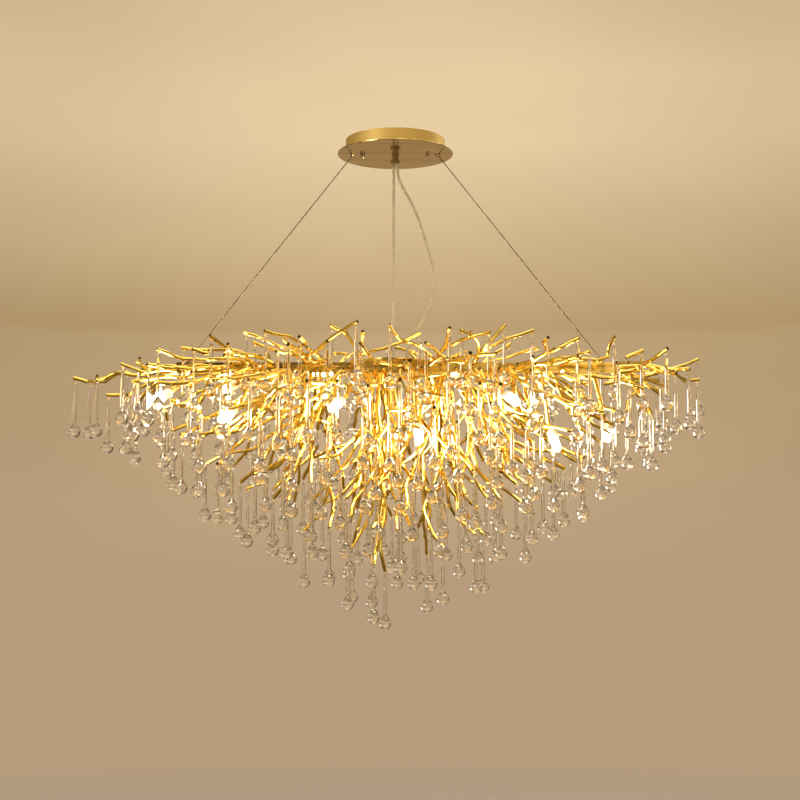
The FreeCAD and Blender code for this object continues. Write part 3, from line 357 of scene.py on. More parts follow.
def useGroup(tree, group, surface, values, bump, depth):
    made = node(tree, "ShaderNodeGroup", node_tree=group)
    for name, value in values.items():
        feed(tree, value, made.inputs[name])
    feed(tree, made.outputs["Colour"], surface.inputs["Base Color"])
    feed(tree, made.outputs["Roughness"], surface.inputs["Roughness"])
    relief = node(tree, "ShaderNodeBump")
    feed(tree, bump, relief.inputs["Strength"])
    feed(tree, depth, relief.inputs["Distance"])
    feed(tree, made.outputs["Height"], relief.inputs["Height"])
    feed(tree, relief.outputs[0], surface.inputs["Normal"])


def platedMetal(name, colour, deepColour, roughness, patchScale=60.0, bump=0.25):
    material, tree, surface = startMaterial(name)
    surface.inputs["Metallic"].default_value = 1
    useGroup(tree, plating, surface, {
        "Colour": colour, "Deep Colour": deepColour, "Patch Scale": patchScale,
        "Grain Scale": 700.0, "Roughness": roughness, "Roughness Spread": 0.08,
    }, bump, 0.0004)
    return material


def brushedMetal(name, colour, lineColour, stretch, roughness):
    material, tree, surface = startMaterial(name)
    surface.inputs["Metallic"].default_value = 1
    useGroup(tree, brushing, surface, {
        "Colour": colour, "Line Colour": lineColour, "Stretch": stretch, "Roughness": roughness,
    }, 0.12, 0.0002)
    return material


def clearMaterial(name, colour, roughness, ior=1.5, patchScale=90.0, bump=0.06):
    material, tree, surface = startMaterial(name)
    surface.inputs["Transmission Weight"].default_value = 1
    surface.inputs["IOR"].default_value = ior
    useGroup(tree, plating, surface, {
        "Colour": colour, "Deep Colour": [share * 0.97 for share in colour], "Patch Scale": patchScale,
        "Grain Scale": 400.0, "Roughness": roughness, "Roughness Spread": 0.02,
    }, bump, 0.0005)
    return material


def plainMaterial(name, colour, deepColour, roughness, patchScale=120.0, bump=0.1, depth=0.0002):
    material, tree, surface = startMaterial(name)
    useGroup(tree, plating, surface, {
        "Colour": colour, "Deep Colour": deepColour, "Patch Scale": patchScale,
        "Grain Scale": 900.0, "Roughness": roughness, "Roughness Spread": 0.1,
    }, bump, depth)
    return material


def milkyMaterial(name, colour, deepColour, roughness, clearness):
    material = plainMaterial(name, colour, deepColour, roughness, patchScale=60.0)
    surface = material.node_tree.nodes["Principled BSDF"]
    surface.inputs["Transmission Weight"].default_value = clearness
    surface.inputs["IOR"].default_value = 1.42
    return material


def glowMaterial(name, colour, strength):
    material, tree, surface = startMaterial(name)
    surface.inputs["Base Color"].default_value = (*colour, 1)
    surface.inputs["Emission Color"].default_value = (*colour, 1)
    surface.inputs["Emission Strength"].default_value = strength
    return material


finishes = {
    "twigGold": platedMetal(
        "twigGold", (1.0, 0.79, 0.21), (0.94, 0.66, 0.13), 0.06, patchScale=55, bump=0.16),
    # painted shade: the flat ends of the rods and stubs are near black, standing for the dark inside of a
    # hollow tube end
    "endShade": platedMetal("endShade", (0.10, 0.065, 0.035), (0.03, 0.02, 0.012), 0.35, patchScale=400),
    "armGold": platedMetal("armGold", (0.98, 0.76, 0.26), (0.90, 0.64, 0.17), 0.15, patchScale=40, bump=0.12),
    "drumGold": brushedMetal("drumGold", (0.80, 0.60, 0.22), (0.66, 0.47, 0.15), (60.0, 60.0, 1600.0), 0.5),
    "plateGold": brushedMetal("plateGold", (0.74, 0.56, 0.20), (0.42, 0.30, 0.09), (7.0, 420.0, 420.0), 0.02),
    "spineGold": brushedMetal(
        "spineGold", (0.90, 0.67, 0.20), (0.62, 0.42, 0.10), (14.0, 300.0, 300.0), 0.08),
    "steel": brushedMetal("steel", (0.62, 0.60, 0.57), (0.45, 0.44, 0.42), (40.0, 900.0, 900.0), 0.28),
    "cableSteel": platedMetal("cableSteel", (0.34, 0.28, 0.20), (0.24, 0.19, 0.13), 0.4, bump=0.02),
    # painted dark reflection: the deep colour is dark brown, so these fittings look as if they mirror a dark
    # room, mixed in by random patches
    "nickel": platedMetal("nickel", (0.70, 0.61, 0.47), (0.34, 0.26, 0.17), 0.03, patchScale=90, bump=0.08),
    "ringMetal": platedMetal("ringMetal", (0.95, 0.84, 0.60), (0.86, 0.72, 0.46), 0.24, bump=0.05),
    "dropGlass": clearMaterial("dropGlass", (0.99, 0.975, 0.94), 0.0, ior=1.5, patchScale=140.0, bump=0.06),
    "cordPlastic": milkyMaterial("cordPlastic", (0.80, 0.69, 0.49), (0.68, 0.57, 0.39), 0.22, 0.25),
    "bulbGlow": glowMaterial("bulbGlow", (1.0, 0.80, 0.50), 80),
    "holderCeramic": plainMaterial("holderCeramic", (0.86, 0.84, 0.78), (0.78, 0.75, 0.68), 0.32),
    "whitePlastic": plainMaterial("whitePlastic", (0.84, 0.83, 0.80), (0.78, 0.77, 0.74), 0.35),
    "blackRubber": plainMaterial("blackRubber", (0.035, 0.033, 0.03), (0.02, 0.019, 0.018), 0.55),
}
print("finishes")


# ---- pieces made from the frame's own nodes


def finishNode(name, finish):
    mesh = nodes[name].data
    mesh.materials.clear()
    mesh.materials.append(finishes[finish])


def mergedForm(names):
    form = bmesh.new()
    for name in names:
        form.from_mesh(nodes[name].data)
    bmesh.ops.remove_doubles(form, verts=form.verts, dist=2e-6)
    return form


def islands(form):
    unseen = set(form.verts)
    found = []
    for start in form.verts:
        if start not in unseen:
            continue
        unseen.discard(start)
        group, edge = [start], [start]
        while edge:
            vertex = edge.pop()
            for line in vertex.link_edges:
                other = line.other_vert(vertex)
                if other in unseen:
                    unseen.discard(other)
                    group.append(other)
                    edge.append(other)
        found.append(group)
    return found


def addPiece(name, mesh, body, slot, *replaced):
    piece = placed(name, mesh)
    if replaced:
        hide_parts(*replaced)
    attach(piece, body)
    return piece


def bodyOf(name):
    return next(body for body, members in frame["record"]["behaviour"]["bodies"].items() if name in members)


def slotOf(name):
    return next(part["material_slot"] for part in frame["record"]["subparts"] if part["node"] == name)


def smoothPiece(name, finish, sharp=38):
    form = mergedForm([name])
    for face in form.faces:
        face.smooth = True
    for line in form.edges:
        line.smooth = line.is_manifold and line.calc_face_angle(0) < math.radians(sharp)
    mesh = bpy.data.meshes.new(f"{name}_smooth")
    form.to_mesh(mesh)
    form.free()
    mesh.materials.append(finishes[finish])
    return addPiece(f"{name}_smooth", mesh, bodyOf(name), slotOf(name), name)


plainNodes = {
    "ceiling_bracket": "steel", "canopy_drum": "drumGold", "canopy_plate": "plateGold",
    "canopy_studs": "steel", "terminal_block": "whitePlastic", "spine_tray": "spineGold",
    "spine_cover": "spineGold", "hub_disc": "spineGold", "cover_screws": "nickel",
    "spine_wires": "blackRubber", "cord_grommet": "blackRubber", "canopy_lead": "cordPlastic",
    "gland_nut": "nickel", "plunger_left": "nickel", "plunger_right": "nickel",
}
smoothNodes = {
    "canopy_cap_nuts": "nickel", "cord_gland": "nickel", "swivel_balls": "nickel",
    "cable_anchors": "nickel", "cable_sleeve": "cordPlastic", "lamp_arms": "armGold",
    "lamp_holders": "holderCeramic",
}
for name, finish in plainNodes.items():
    finishNode(name, finish)
for name, finish in smoothNodes.items():
    smoothPiece(name, finish)
print("canopy, spine and fittings")


# ---- gilt twigs

twigs = {
    "stemRadius": 0.0031,
    "twigRadius": 0.0025,
    "sides": 10,
    "bendPoints": 4,
    "swelling": 0.16,  # how much a rod swells and thins, as a share of its radius
    "swellingScale": 70.0,
    "plumpness": 1.18,  # thicker than the bare CAD rod, which has no plating
    "wander": 0.0015,  # how far a rod strays from its straight runs
    "wanderScale": 34.0,
    "wanderEnd": 0.016,  # the last stretch to the tip, which comes back to its ring
    "step": 0.009,
    "spurShare": 0.62,  # how many knees have the cut end of a side shoot
    "spurLength": 0.0062,
    "spurRadius": 0.0021,
    "rootDepth": 0.003,
    "seed": 19,
}


def faceBlocks(mesh):
    # a CAD face's points stand in one block, so the mesh can be read face by face
    corners = np.zeros(len(mesh.loops), np.int64)
    mesh.loops.foreach_get("vertex_index", corners)
    corners = corners.reshape(-1, 3)
    points = np.zeros(len(mesh.vertices) * 3, np.float32)
    mesh.vertices.foreach_get("co", points)
    points = points.reshape(-1, 3).astype(float)
    reach = np.arange(len(points))
    np.maximum.at(reach, corners.min(axis=1), corners.max(axis=1))
    ends = np.nonzero(np.maximum.accumulate(reach) == np.arange(len(points)))[0] + 1
    starts = np.concatenate([[0], ends[:-1]])
    owner = np.searchsorted(ends, corners.min(axis=1), side="right")
    corners = corners[np.argsort(owner, kind="stable")]
    owner = np.sort(owner)
    edges = np.searchsorted(owner, np.arange(len(ends) + 1))
    return [
        (points[starts[n]:ends[n]], points[corners[edges[n]:edges[n + 1]]])
        for n in range(len(ends)) if edges[n + 1] > edges[n]
    ]


def straightRun(points, triangles):
    # the middle line of a round bar's straight face, or nothing for any other face
    across = np.cross(triangles[:, 1] - triangles[:, 0], triangles[:, 2] - triangles[:, 0])
    area = np.linalg.norm(across, axis=1)
    sound = area > 1e-14
    if sound.sum() < 6:
        return None
    normals = across[sound] / area[sound][:, None]
    axis = np.linalg.eigh(normals.T @ (normals * area[sound][:, None]))[1][:, 0]
    first = np.cross(axis, (0, 0, 1) if abs(axis[2]) < 0.9 else (1, 0, 0))
    first /= np.linalg.norm(first)
    second = np.cross(axis, first)
    flat = np.stack([points @ first, points @ second], axis=1)
    middle = flat.mean(axis=0)
    table = np.concatenate([2 * (flat - middle), np.ones((len(flat), 1))], axis=1)
    answer, _, rank, _ = np.linalg.lstsq(table, ((flat - middle) ** 2).sum(axis=1), rcond=None)
    if rank < 3:
        return None
    radius = math.sqrt(max(answer[2] + answer[0] ** 2 + answer[1] ** 2, 0))
    centre = middle + answer[:2]
    stray = np.abs(np.linalg.norm(flat - centre, axis=1) - radius).max()
    known = [r for r in (twigs["stemRadius"], twigs["twigRadius"]) if abs(radius - r) < 7e-5]
    if stray > 3e-5 or not known:
        return None
    along = points @ axis
    base = first * centre[0] + second * centre[1]
    return base + axis * along.min(), base + axis * along.max(), known[0]


def withoutHalves(runs):
    # a join can leave a straight run as two faces: the shorter is dropped
    kept = []
    for low, high, radius in sorted(runs, key=lambda run: -np.linalg.norm(run[1] - run[0])):
        double = False
        for start, end, other in kept:
            if other == radius and np.linalg.norm((low + high) / 2 - (start + end) / 2) < 0.06:
                way = (end - start) / np.linalg.norm(end - start)
                reach = np.linalg.norm(end - start)
                offs = [p - start - way * np.clip((p - start) @ way, 0, reach) for p in (low, high)]
                double = double or max(np.linalg.norm(off) for off in offs) < 0.0013
        if not double:
            kept.append((low, high, radius))
    return kept


def rodLines(mesh):
    # every rod of a branch mesh: its radius and its straight runs in order
    runs, bends = [], []
    for points, triangles in faceBlocks(mesh):
        run = straightRun(points, triangles)
        if run:
            runs.append(run)
        else:
            bends.append(points)
    runs = withoutHalves(runs)
    ends = []
    for low, high, radius in runs:
        way = (high - low) / np.linalg.norm(high - low)
        ends += [(low, -way, radius), (high, way, radius)]
    places = np.array([end[0] for end in ends])
    partner = {}

    def join(one, other):
        if one not in partner and other not in partner and one // 2 != other // 2:
            partner[one], partner[other] = other, one

    for one, (place, way, radius) in enumerate(ends):
        for other in np.nonzero(np.linalg.norm(places - place, axis=1) < 1e-4)[0]:
            if way @ ends[other][1] < -0.99:
                join(one, int(other))
    for points in bends:
        low, high = points.min(axis=0) - 0.004, points.max(axis=0) + 0.004
        touching = []
        for number in np.nonzero(((places > low) & (places < high)).all(axis=1))[0]:
            place, way, radius = ends[number]
            away = points - place
            rim = (np.abs(away @ way) < 2e-5) & (np.abs(np.linalg.norm(away, axis=1) - radius) < 3e-5)
            if rim.sum() >= 3:
                touching.append((int(rim.sum()), int(number)))
        touching.sort(reverse=True)
        alike = [number for _, number in touching if ends[number][2] == ends[touching[0][1]][2]]
        if len(alike) >= 2:
            join(alike[0], alike[1])
    lines, used = [], set()
    for first in range(len(ends)):
        if first in partner or first // 2 in used:
            continue
        line, at = [], first
        while True:
            used.add(at // 2)
            line.append((Vector(ends[at][0]), Vector(ends[at ^ 1][0])))
            if at ^ 1 not in partner:
                break
            at = partner[at ^ 1]
        lines.append((ends[first][2], line))
    return lines


def rootFirst(radius, line, tips):
    # a rod runs from its root to its tip: the tip is the end nearer to a ring
    gap = [min((end - tip).length for tip in tips) for end in (line[0][0], line[-1][1])]
    if gap[0] < gap[1]:
        line = [(end, start) for start, end in reversed(line)]
    return line


def rodPoints(line):
    # the straight runs joined by soft bends, all bent a little by one field of waves
    start, end = line[0]
    points = [start - (end - start).normalized() * twigs["rootDepth"]]
    for number, (start, end) in enumerate(line):
        pieces = max(round((end - start).length / twigs["step"]), 1)
        points += [start.lerp(end, n / pieces) for n in range(pieces + 1)]
        if number + 1 < len(line):
            after, beyond = line[number + 1]
            leave, arrive = (end - start).normalized(), (beyond - after).normalized()
            handle = (after - end).length * 0.36
            for step in range(1, twigs["bendPoints"] + 1):
                share = step / (twigs["bendPoints"] + 1)
                rest = 1 - share
                points.append(end * rest ** 3 + (end + leave * handle) * 3 * rest * rest * share
                              + (after - arrive * handle) * 3 * rest * share * share + after * share ** 3)
    tip = points[-1]
    bent = []
    for point in points:
        away = min((point - tip).length / twigs["wanderEnd"], 1)
        bent.append(point + noise.noise_vector(point * twigs["wanderScale"]) * twigs["wander"] * 2 * away)
    return bent


def spurPoints(line, dice):
    # at a knee the shoot that was cut off sticks out, in line with the run before it
    spurs = []
    for (start, end), (after, beyond) in zip(line, line[1:]):
        leave, arrive = (end - start).normalized(), (beyond - after).normalized()
        if dice.random() > twigs["spurShare"] or (after - end).length < 0.004:
            continue
        corner = end + leave * (after - end).length * 0.5
        outward = (leave - arrive).normalized()
        way = (leave + outward * dice.uniform(0.1, 0.7)).normalized()
        spurs.append([corner - way * 0.003, corner + way * twigs["spurLength"] * dice.uniform(0.75, 1.15)])
    return spurs


def rodCurve(name, rods):
    curve = bpy.data.curves.new(name, "CURVE")
    curve.dimensions = "3D"
    for radius, points in rods:
        line = curve.splines.new("POLY")
        line.points.add(len(points) - 1)
        for point, place in zip(line.points, points):
            point.co = (*place, 1)
            point.radius = radius
    return curve


def rodTree():
    # a round bar along each line: its radius swells by a noise, its flat ends take a near-black material,
    # painted shade that stands for the dark inside of a hollow end
    tree = bpy.data.node_groups.new("drawRods", "GeometryNodeTree")
    face = tree.interface
    face.new_socket("Geometry", in_out="INPUT", socket_type="NodeSocketGeometry")
    sockets = {}
    for label, kind, value in (
        ("Sides", "NodeSocketInt", twigs["sides"]), ("Swelling", "NodeSocketFloat", twigs["swelling"]),
        ("Swelling Scale", "NodeSocketFloat", twigs["swellingScale"]),
        ("Seed", "NodeSocketFloat", float(twigs["seed"])), ("Skin", "NodeSocketMaterial", None),
        ("Cut End", "NodeSocketMaterial", None),
    ):
        socket = face.new_socket(label, in_out="INPUT", socket_type=kind)
        if value is not None:
            socket.default_value = value
        sockets[label] = socket.identifier
    face.new_socket("Geometry", in_out="OUTPUT", socket_type="NodeSocketGeometry")
    given, result = node(tree, "NodeGroupInput"), node(tree, "NodeGroupOutput")
    lumps = node(tree, "ShaderNodeTexNoise", noise_dimensions="4D")
    lumps.inputs["Detail"].default_value = 1.0
    feed(tree, node(tree, "GeometryNodeInputPosition").outputs[0], lumps.inputs["Vector"])
    feed(tree, given.outputs["Seed"], lumps.inputs["W"])
    feed(tree, given.outputs["Swelling Scale"], lumps.inputs["Scale"])
    centred = maths(tree, "SUBTRACT", lumps.outputs[0], 0.5)
    share = maths(tree, "MULTIPLY_ADD", centred, given.outputs["Swelling"], 1.0)
    radius = maths(tree, "MULTIPLY", node(tree, "GeometryNodeInputRadius").outputs[0], share)
    swell = node(tree, "GeometryNodeSetCurveRadius")
    feed(tree, given.outputs["Geometry"], swell.inputs["Curve"])
    feed(tree, radius, swell.inputs["Radius"])
    circle = node(tree, "GeometryNodeCurvePrimitiveCircle")
    feed(tree, given.outputs["Sides"], circle.inputs["Resolution"])
    circle.inputs["Radius"].default_value = 1.0
    sweep = node(tree, "GeometryNodeCurveToMesh")
    feed(tree, swell.outputs[0], sweep.inputs["Curve"])
    feed(tree, circle.outputs[0], sweep.inputs["Profile Curve"])
    if "Scale" in sweep.inputs:
        feed(tree, radius, sweep.inputs["Scale"])
    sweep.inputs["Fill Caps"].default_value = True
    solid = node(tree, "GeometryNodeRealizeInstances")
    feed(tree, sweep.outputs[0], solid.inputs[0])
    paint = node(tree, "GeometryNodeSetMaterial")
    feed(tree, solid.outputs[0], paint.inputs["Geometry"])
    feed(tree, given.outputs["Skin"], paint.inputs["Material"])
    # the caps, faces with more than four corners, take the near-black material, painted shade for a hollow
    # end
    isCap = node(tree, "FunctionNodeCompare", data_type="INT", operation="GREATER_THAN")
    feed(tree, node(tree, "GeometryNodeInputMeshFaceNeighbors").outputs["Vertex Count"], isCap.inputs[2])
    isCap.inputs[3].default_value = 4
    caps = node(tree, "GeometryNodeSetMaterial")
    feed(tree, paint.outputs[0], caps.inputs["Geometry"])
    feed(tree, isCap.outputs[0], caps.inputs["Selection"])
    feed(tree, given.outputs["Cut End"], caps.inputs["Material"])
    feed(tree, caps.outputs[0], result.inputs[0])
    return tree, sockets


def plainMesh(source, name):
    # the evaluated object as a mesh of its own
    bpy.context.view_layer.update()
    mesh = bpy.data.meshes.new_from_object(source.evaluated_get(bpy.context.evaluated_depsgraph_get()))
    mesh.name = name
    return mesh


def twigPiece(name, tips, tree, sockets):
    dice = random.Random(twigs["seed"])
    rods = []
    for radius, line in rodLines(nodes[name].data):
        line = rootFirst(radius, line, tips)
        rods.append((radius * twigs["plumpness"], rodPoints(line)))
        rods += [(twigs["spurRadius"], spur) for spur in spurPoints(line, dice)]
    holder = placed(f"{name}_lines", rodCurve(f"{name}_lines", rods))
    modifier = holder.modifiers.new("rods", "NODES")
    modifier.node_group = tree
    modifier[sockets["Skin"]] = finishes["twigGold"]
    modifier[sockets["Cut End"]] = finishes["endShade"]
    mesh = plainMesh(holder, f"{name}_gilt")
    bpy.data.objects.remove(holder)
    for face in mesh.polygons:
        face.use_smooth = len(face.vertices) == 4
    return addPiece(f"{name}_gilt", mesh, "fixture", slotOf(name), name)


def ringPlaces():
    # each ring's middle and the direction that its axis points in
    places = []
    for points, triangles in faceBlocks(nodes["jump_rings"].data):
        middle = (points.min(axis=0) + points.max(axis=0)) / 2
        away = points - middle
        axis = np.linalg.eigh(away.T @ away)[1][:, 0]
        places.append((Vector(middle), math.atan2(axis[1], axis[0])))
    return places


noise.seed_set(twigs["seed"])
rings = ringPlaces()
tips = [place for place, turn in rings]
drawRods, rodSockets = rodTree()
for name in branchNodes:
    twigPiece(name, tips, drawRods, rodSockets)
print("twigs")


# ---- glass drops

def bridge(form, first, second):
    # the faces between two circles of points
    for k in range(len(first)):
        after = (k + 1) % len(first)
        form.faces.new((first[k], first[after], second[after], second[k]))


def wireLoop(form, radius, wire, sides, wireSides, across):
    # a wire loop that stands upright, facing along "across", which is X or Y
    aside = Vector((across.y, across.x, 0))
    circles = []
    for n in range(sides):
        turn = 2 * math.pi * n / sides
        out = aside * math.cos(turn) + Vector((0, 0, math.sin(turn)))
        circles.append([
            form.verts.new(out * (radius + wire * math.cos(2 * math.pi * k / wireSides))
                           + across * wire * math.sin(2 * math.pi * k / wireSides))
            for k in range(wireSides)
        ])
    for n in range(sides):
        bridge(form, circles[n], circles[(n + 1) % sides])


def meshOf(name, form, flatSides=None):
    # the form as a smooth mesh, apart from the faces with more sides than flatSides
    bmesh.ops.recalc_face_normals(form, faces=form.faces)
    for face in form.faces:
        face.smooth = not flatSides or len(face.verts) < flatSides
    mesh = bpy.data.meshes.new(name)
    form.to_mesh(mesh)
    form.free()
    return mesh


drop = {
    "sides": 12,
    "ballRadius": 0.012,
    "length": 0.100,  # from the eye's middle to the round end
    "neckRadius": 0.0030,
    "waistRadius": 0.0033,
    "waistAt": 0.066,
    "shoulder": 42,  # degrees from the top of the round end to where the neck runs into it
    "hollow": 0.15,  # how far the neck's foot is drawn in, as a share of its length
    "sizeSpread": 0.05,
    "eyeRadius": 0.0025,
    "eyeWire": 0.0009,
}


def dropForm():
    ball, length = drop["ballRadius"], drop["length"]
    centre = ball - length
    waist = Vector((drop["waistRadius"], -drop["waistAt"]))
    turn = math.radians(drop["shoulder"])
    shoulder = Vector((ball * math.sin(turn), centre + ball * math.cos(turn)))
    handle = (waist + shoulder) / 2 - Vector((2 * drop["hollow"] * (shoulder - waist).length, 0))
    neck = drop["neckRadius"]
    profile = [(neck * 0.45, -0.0012), (neck * 0.85, -0.0018), (neck, -0.0030), (neck, -0.030), tuple(waist)]
    for share in (0.25, 0.5, 0.75):
        rest = 1 - share
        profile.append(tuple(waist * rest ** 2 + handle * 2 * share * rest + shoulder * share ** 2))
    for angle in (drop["shoulder"], 60, 78, 96, 114, 132, 150, 166):
        turn = math.radians(angle)
        profile.append((ball * math.sin(turn), centre + ball * math.cos(turn)))
    form = bmesh.new()
    circles = []
    for radius, level in profile:
        circles.append([
            form.verts.new((radius * math.cos(2 * math.pi * n / drop["sides"]),
                            radius * math.sin(2 * math.pi * n / drop["sides"]), level))
            for n in range(drop["sides"])
        ])
    for upper, lower in zip(circles, circles[1:]):
        for n in range(drop["sides"]):
            after = (n + 1) % drop["sides"]
            form.faces.new((upper[n], lower[n], lower[after], upper[after]))
    form.faces.new(circles[0])
    foot = form.verts.new((0, 0, -length))
    for n in range(drop["sides"]):
        form.faces.new((circles[-1][n], foot, circles[-1][(n + 1) % drop["sides"]]))
    wireLoop(form, drop["eyeRadius"], drop["eyeWire"], 8, 5, Vector((0, 1, 0)))
    return meshOf("dropPattern", form)


def dropPlaces(name):
    form = mergedForm([name])
    places = []
    for group in islands(form):
        low = min(vertex.co.z for vertex in group)
        high = max(vertex.co.z for vertex in group)
        ball = [vertex.co for vertex in group if vertex.co.z < low + drop["ballRadius"] * 1.2]
        x = (min(p.x for p in ball) + max(p.x for p in ball)) / 2
        y = (min(p.y for p in ball) + max(p.y for p in ball)) / 2
        eye = [vertex.co for vertex in group if vertex.co.z > high - 2 * drop["eyeRadius"]]
        reach = max(eye, key=lambda p: (p.x - x) ** 2 + (p.y - y) ** 2)
        turn = math.atan2(reach.y - y, reach.x - x)
        places.append((Vector((x, y, high - drop["eyeRadius"] - drop["eyeWire"])), turn))
    form.free()
    return places


def patternTree():
    # one pattern at each point, turned about the vertical by the point's own angle
    tree = bpy.data.node_groups.new("setPatterns", "GeometryNodeTree")
    tree.interface.new_socket("Geometry", in_out="INPUT", socket_type="NodeSocketGeometry")
    pattern = tree.interface.new_socket("Pattern", in_out="INPUT", socket_type="NodeSocketObject")
    size = tree.interface.new_socket("Size Spread", in_out="INPUT", socket_type="NodeSocketFloat")
    size.default_value = 0.0
    seed = tree.interface.new_socket("Seed", in_out="INPUT", socket_type="NodeSocketInt")
    seed.default_value = 7
    skin = tree.interface.new_socket("Skin", in_out="INPUT", socket_type="NodeSocketMaterial")
    tree.interface.new_socket("Geometry", in_out="OUTPUT", socket_type="NodeSocketGeometry")
    given, result = node(tree, "NodeGroupInput"), node(tree, "NodeGroupOutput")
    shape = node(tree, "GeometryNodeObjectInfo")
    feed(tree, given.outputs["Pattern"], shape.inputs["Object"])
    turn = node(tree, "GeometryNodeInputNamedAttribute", data_type="FLOAT")
    turn.inputs["Name"].default_value = "turn"
    axis = node(tree, "ShaderNodeCombineXYZ")
    feed(tree, turn.outputs["Attribute"], axis.inputs["Z"])
    spread = node(tree, "FunctionNodeRandomValue", data_type="FLOAT")
    feed(tree, maths(tree, "SUBTRACT", 1.0, given.outputs["Size Spread"]), spread.inputs[2])
    spread.inputs[3].default_value = 1.0
    feed(tree, given.outputs["Seed"], spread.inputs["Seed"])
    scale = node(tree, "ShaderNodeCombineXYZ")
    feed(tree, spread.outputs[1], scale.inputs["X"])
    feed(tree, spread.outputs[1], scale.inputs["Y"])
    scale.inputs["Z"].default_value = 1.0
    place = node(tree, "GeometryNodeInstanceOnPoints")
    feed(tree, given.outputs["Geometry"], place.inputs["Points"])
    feed(tree, shape.outputs["Geometry"], place.inputs["Instance"])
    feed(tree, axis.outputs[0], place.inputs["Rotation"])
    feed(tree, scale.outputs[0], place.inputs["Scale"])
    solid = node(tree, "GeometryNodeRealizeInstances")
    feed(tree, place.outputs[0], solid.inputs[0])
    paint = node(tree, "GeometryNodeSetMaterial")
    feed(tree, solid.outputs[0], paint.inputs["Geometry"])
    feed(tree, given.outputs["Skin"], paint.inputs["Material"])
    feed(tree, paint.outputs[0], result.inputs[0])
    named = {"Pattern": pattern, "Size Spread": size, "Seed": seed, "Skin": skin}
    return tree, {label: socket.identifier for label, socket in named.items()}


def setAt(name, pattern, places, finish, spread=0.0, seed=7):
    points = bpy.data.meshes.new(f"{name}_points")
    points.from_pydata([place for place, turn in places], [], [])
    turns = points.attributes.new("turn", "FLOAT", "POINT")
    turns.data.foreach_set("value", [turn for place, turn in places])
    holder = placed(f"{name}_holder", points)
    modifier = holder.modifiers.new("patterns", "NODES")
    modifier.node_group = setPatterns
    modifier[patternSockets["Pattern"]] = pattern
    modifier[patternSockets["Size Spread"]] = spread
    modifier[patternSockets["Seed"]] = seed
    modifier[patternSockets["Skin"]] = finishes[finish]
    mesh = plainMesh(holder, name)
    bpy.data.objects.remove(holder)
    return mesh


setPatterns, patternSockets = patternTree()
dropPattern = placed("dropPattern", dropForm())
for seed, name in enumerate(dropNodes + swingingNodes, start=7):
    mesh = setAt(f"{name}_glass", dropPattern, dropPlaces(name), "dropGlass", drop["sizeSpread"], seed)
    addPiece(f"{name}_glass", mesh, bodyOf(name), "clear_glass", name)
bpy.data.objects.remove(dropPattern)
print("glass drops")


# ---- jump rings and the eyes that they hang in

ring = {
    "radius": 0.0032,
    "wire": 0.0006,
    "eyeRadius": 0.0020,
    "eyeWire": 0.0007,
    "eyeAbove": 0.00378,  # the eye's middle over the ring's
    "sides": 12,
    "wireSides": 5,
}


def loopPattern(name, radius, wire):
    form = bmesh.new()
    wireLoop(form, radius, wire, ring["sides"], ring["wireSides"], Vector((1, 0, 0)))
    return placed(name, meshOf(name, form))


ringPattern = loopPattern("ringPattern", ring["radius"], ring["wire"])
eyePattern = loopPattern("eyePattern", ring["eyeRadius"], ring["eyeWire"])
addPiece("jump_rings_wire", setAt("jump_rings_wire", ringPattern, rings, "ringMetal"),
         "fixture", slotOf("jump_rings"), "jump_rings")
eyes = [(place + Vector((0, 0, ring["eyeAbove"])), turn + math.pi / 2) for place, turn in rings]
addPiece("twig_eyes", setAt("twig_eyes", eyePattern, eyes, "twigGold"), "fixture", "bright_gold")
bpy.data.objects.remove(ringPattern)
bpy.data.objects.remove(eyePattern)
print("rings and eyes")


# ---- capsule bulbs, and the light that they give

bulb = {
    "watts": 1.7,
    "glowRadius": 0.018,
    "colour": (1.0, 0.84, 0.54),
}


def bulbLamp(name):
    data = bpy.data.lights.new(f"{name}_light", "POINT")
    data.energy = bulb["watts"]
    data.color = bulb["colour"]
    data.shadow_soft_size = bulb["glowRadius"]
    lamp = placed(f"{name}_light", data)
    corners = [vertex.co for vertex in nodes[name].data.vertices]
    lamp.location = sum(corners, Vector()) / len(corners)
    lamp.visible_camera = False


for name in bulbNodes:
    finishNode(name, "bulbGlow")
    bulbLamp(name)
print("bulbs")


# ---- steel cables and the clear supply cord

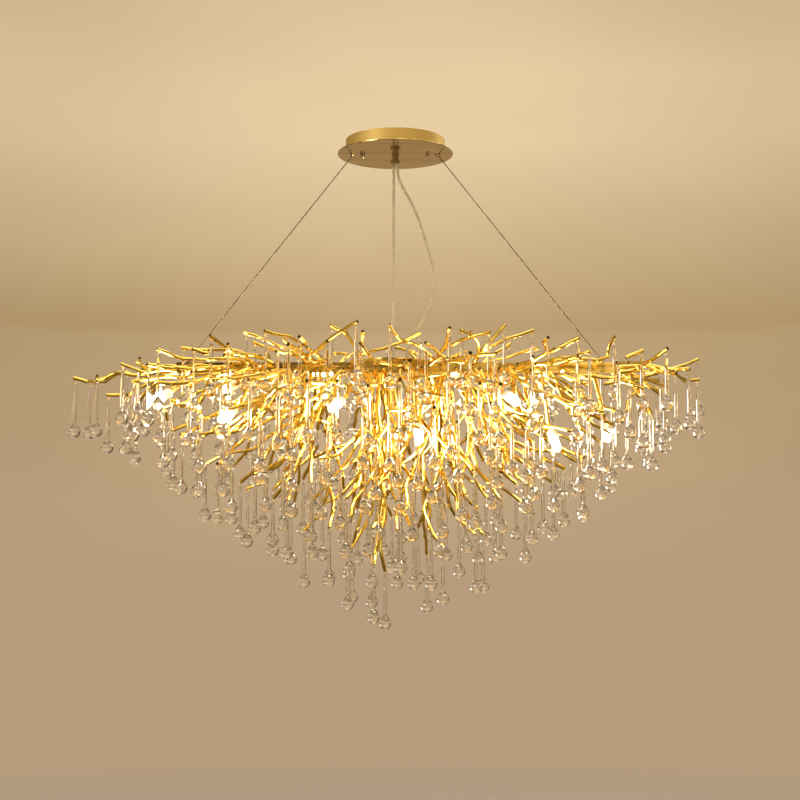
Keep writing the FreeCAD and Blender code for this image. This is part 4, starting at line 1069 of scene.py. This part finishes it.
cord = {
    "diameter": 0.0054,
    # the route of part.py, from the gland's mouth to the grommet on the hub disc
    "route": [
        (0.0032, 0, -0.044), (0.0044, 0.001, -0.068), (0.013, 0.003, -0.090), (0.028, 0.004, -0.114),
        (0.045, 0.006, -0.153), (0.0575, 0.006, -0.193), (0.068, 0.007, -0.232), (0.0755, 0.008, -0.272),
        (0.0685, 0.008, -0.309), (0.054, 0.006, -0.341), (0.037, 0.004, -0.369), (0.0235, 0.001, -0.396),
        (0.020, 0, -0.4240),
    ],
    "length": 0.405,
}


def splineOf(points, name):
    curve = bpy.data.curves.new(name, "CURVE")
    curve.dimensions = "3D"
    curve.resolution_u = 8
    line = curve.splines.new("NURBS")
    line.points.add(len(points) - 1)
    for point, place in zip(line.points, points):
        point.co = (*place, 1)
    line.order_u = 3
    line.use_endpoint_u = True
    return curve


def pathOf(curve):
    holder = placed("pathHolder", curve)
    mesh = plainMesh(holder, "path")
    path = [vertex.co.copy() for vertex in mesh.vertices]
    bpy.data.objects.remove(holder)
    bpy.data.meshes.remove(mesh)
    return path


def tubeMesh(name, path, radius, sides):
    form = bmesh.new()
    side = Vector((0, 1, 0))
    circles = []
    for n, point in enumerate(path):
        ahead = (path[min(n + 1, len(path) - 1)] - path[max(n - 1, 0)]).normalized()
        side = (side - ahead * side.dot(ahead)).normalized()
        other = ahead.cross(side)
        circles.append([
            form.verts.new(point + (side * math.cos(2 * math.pi * k / sides)
                                    + other * math.sin(2 * math.pi * k / sides)) * radius)
            for k in range(sides)
        ])
    for first, second in zip(circles, circles[1:]):
        bridge(form, first, second)
    form.faces.new(circles[0])
    form.faces.new(circles[-1])
    return meshOf(name, form, flatSides=5)


def supplyCord():
    path = pathOf(splineOf(cord["route"], "cordLine"))
    mesh = tubeMesh("supplyCord", path, cord["diameter"] / 2, 16)
    mesh.materials.append(finishes["cordPlastic"])
    piece = placed("supplyCord", mesh)
    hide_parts("supply_cord")
    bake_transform(piece)


supplyCord()
finishNode("suspension_cables", "cableSteel")
print("cables and cord")
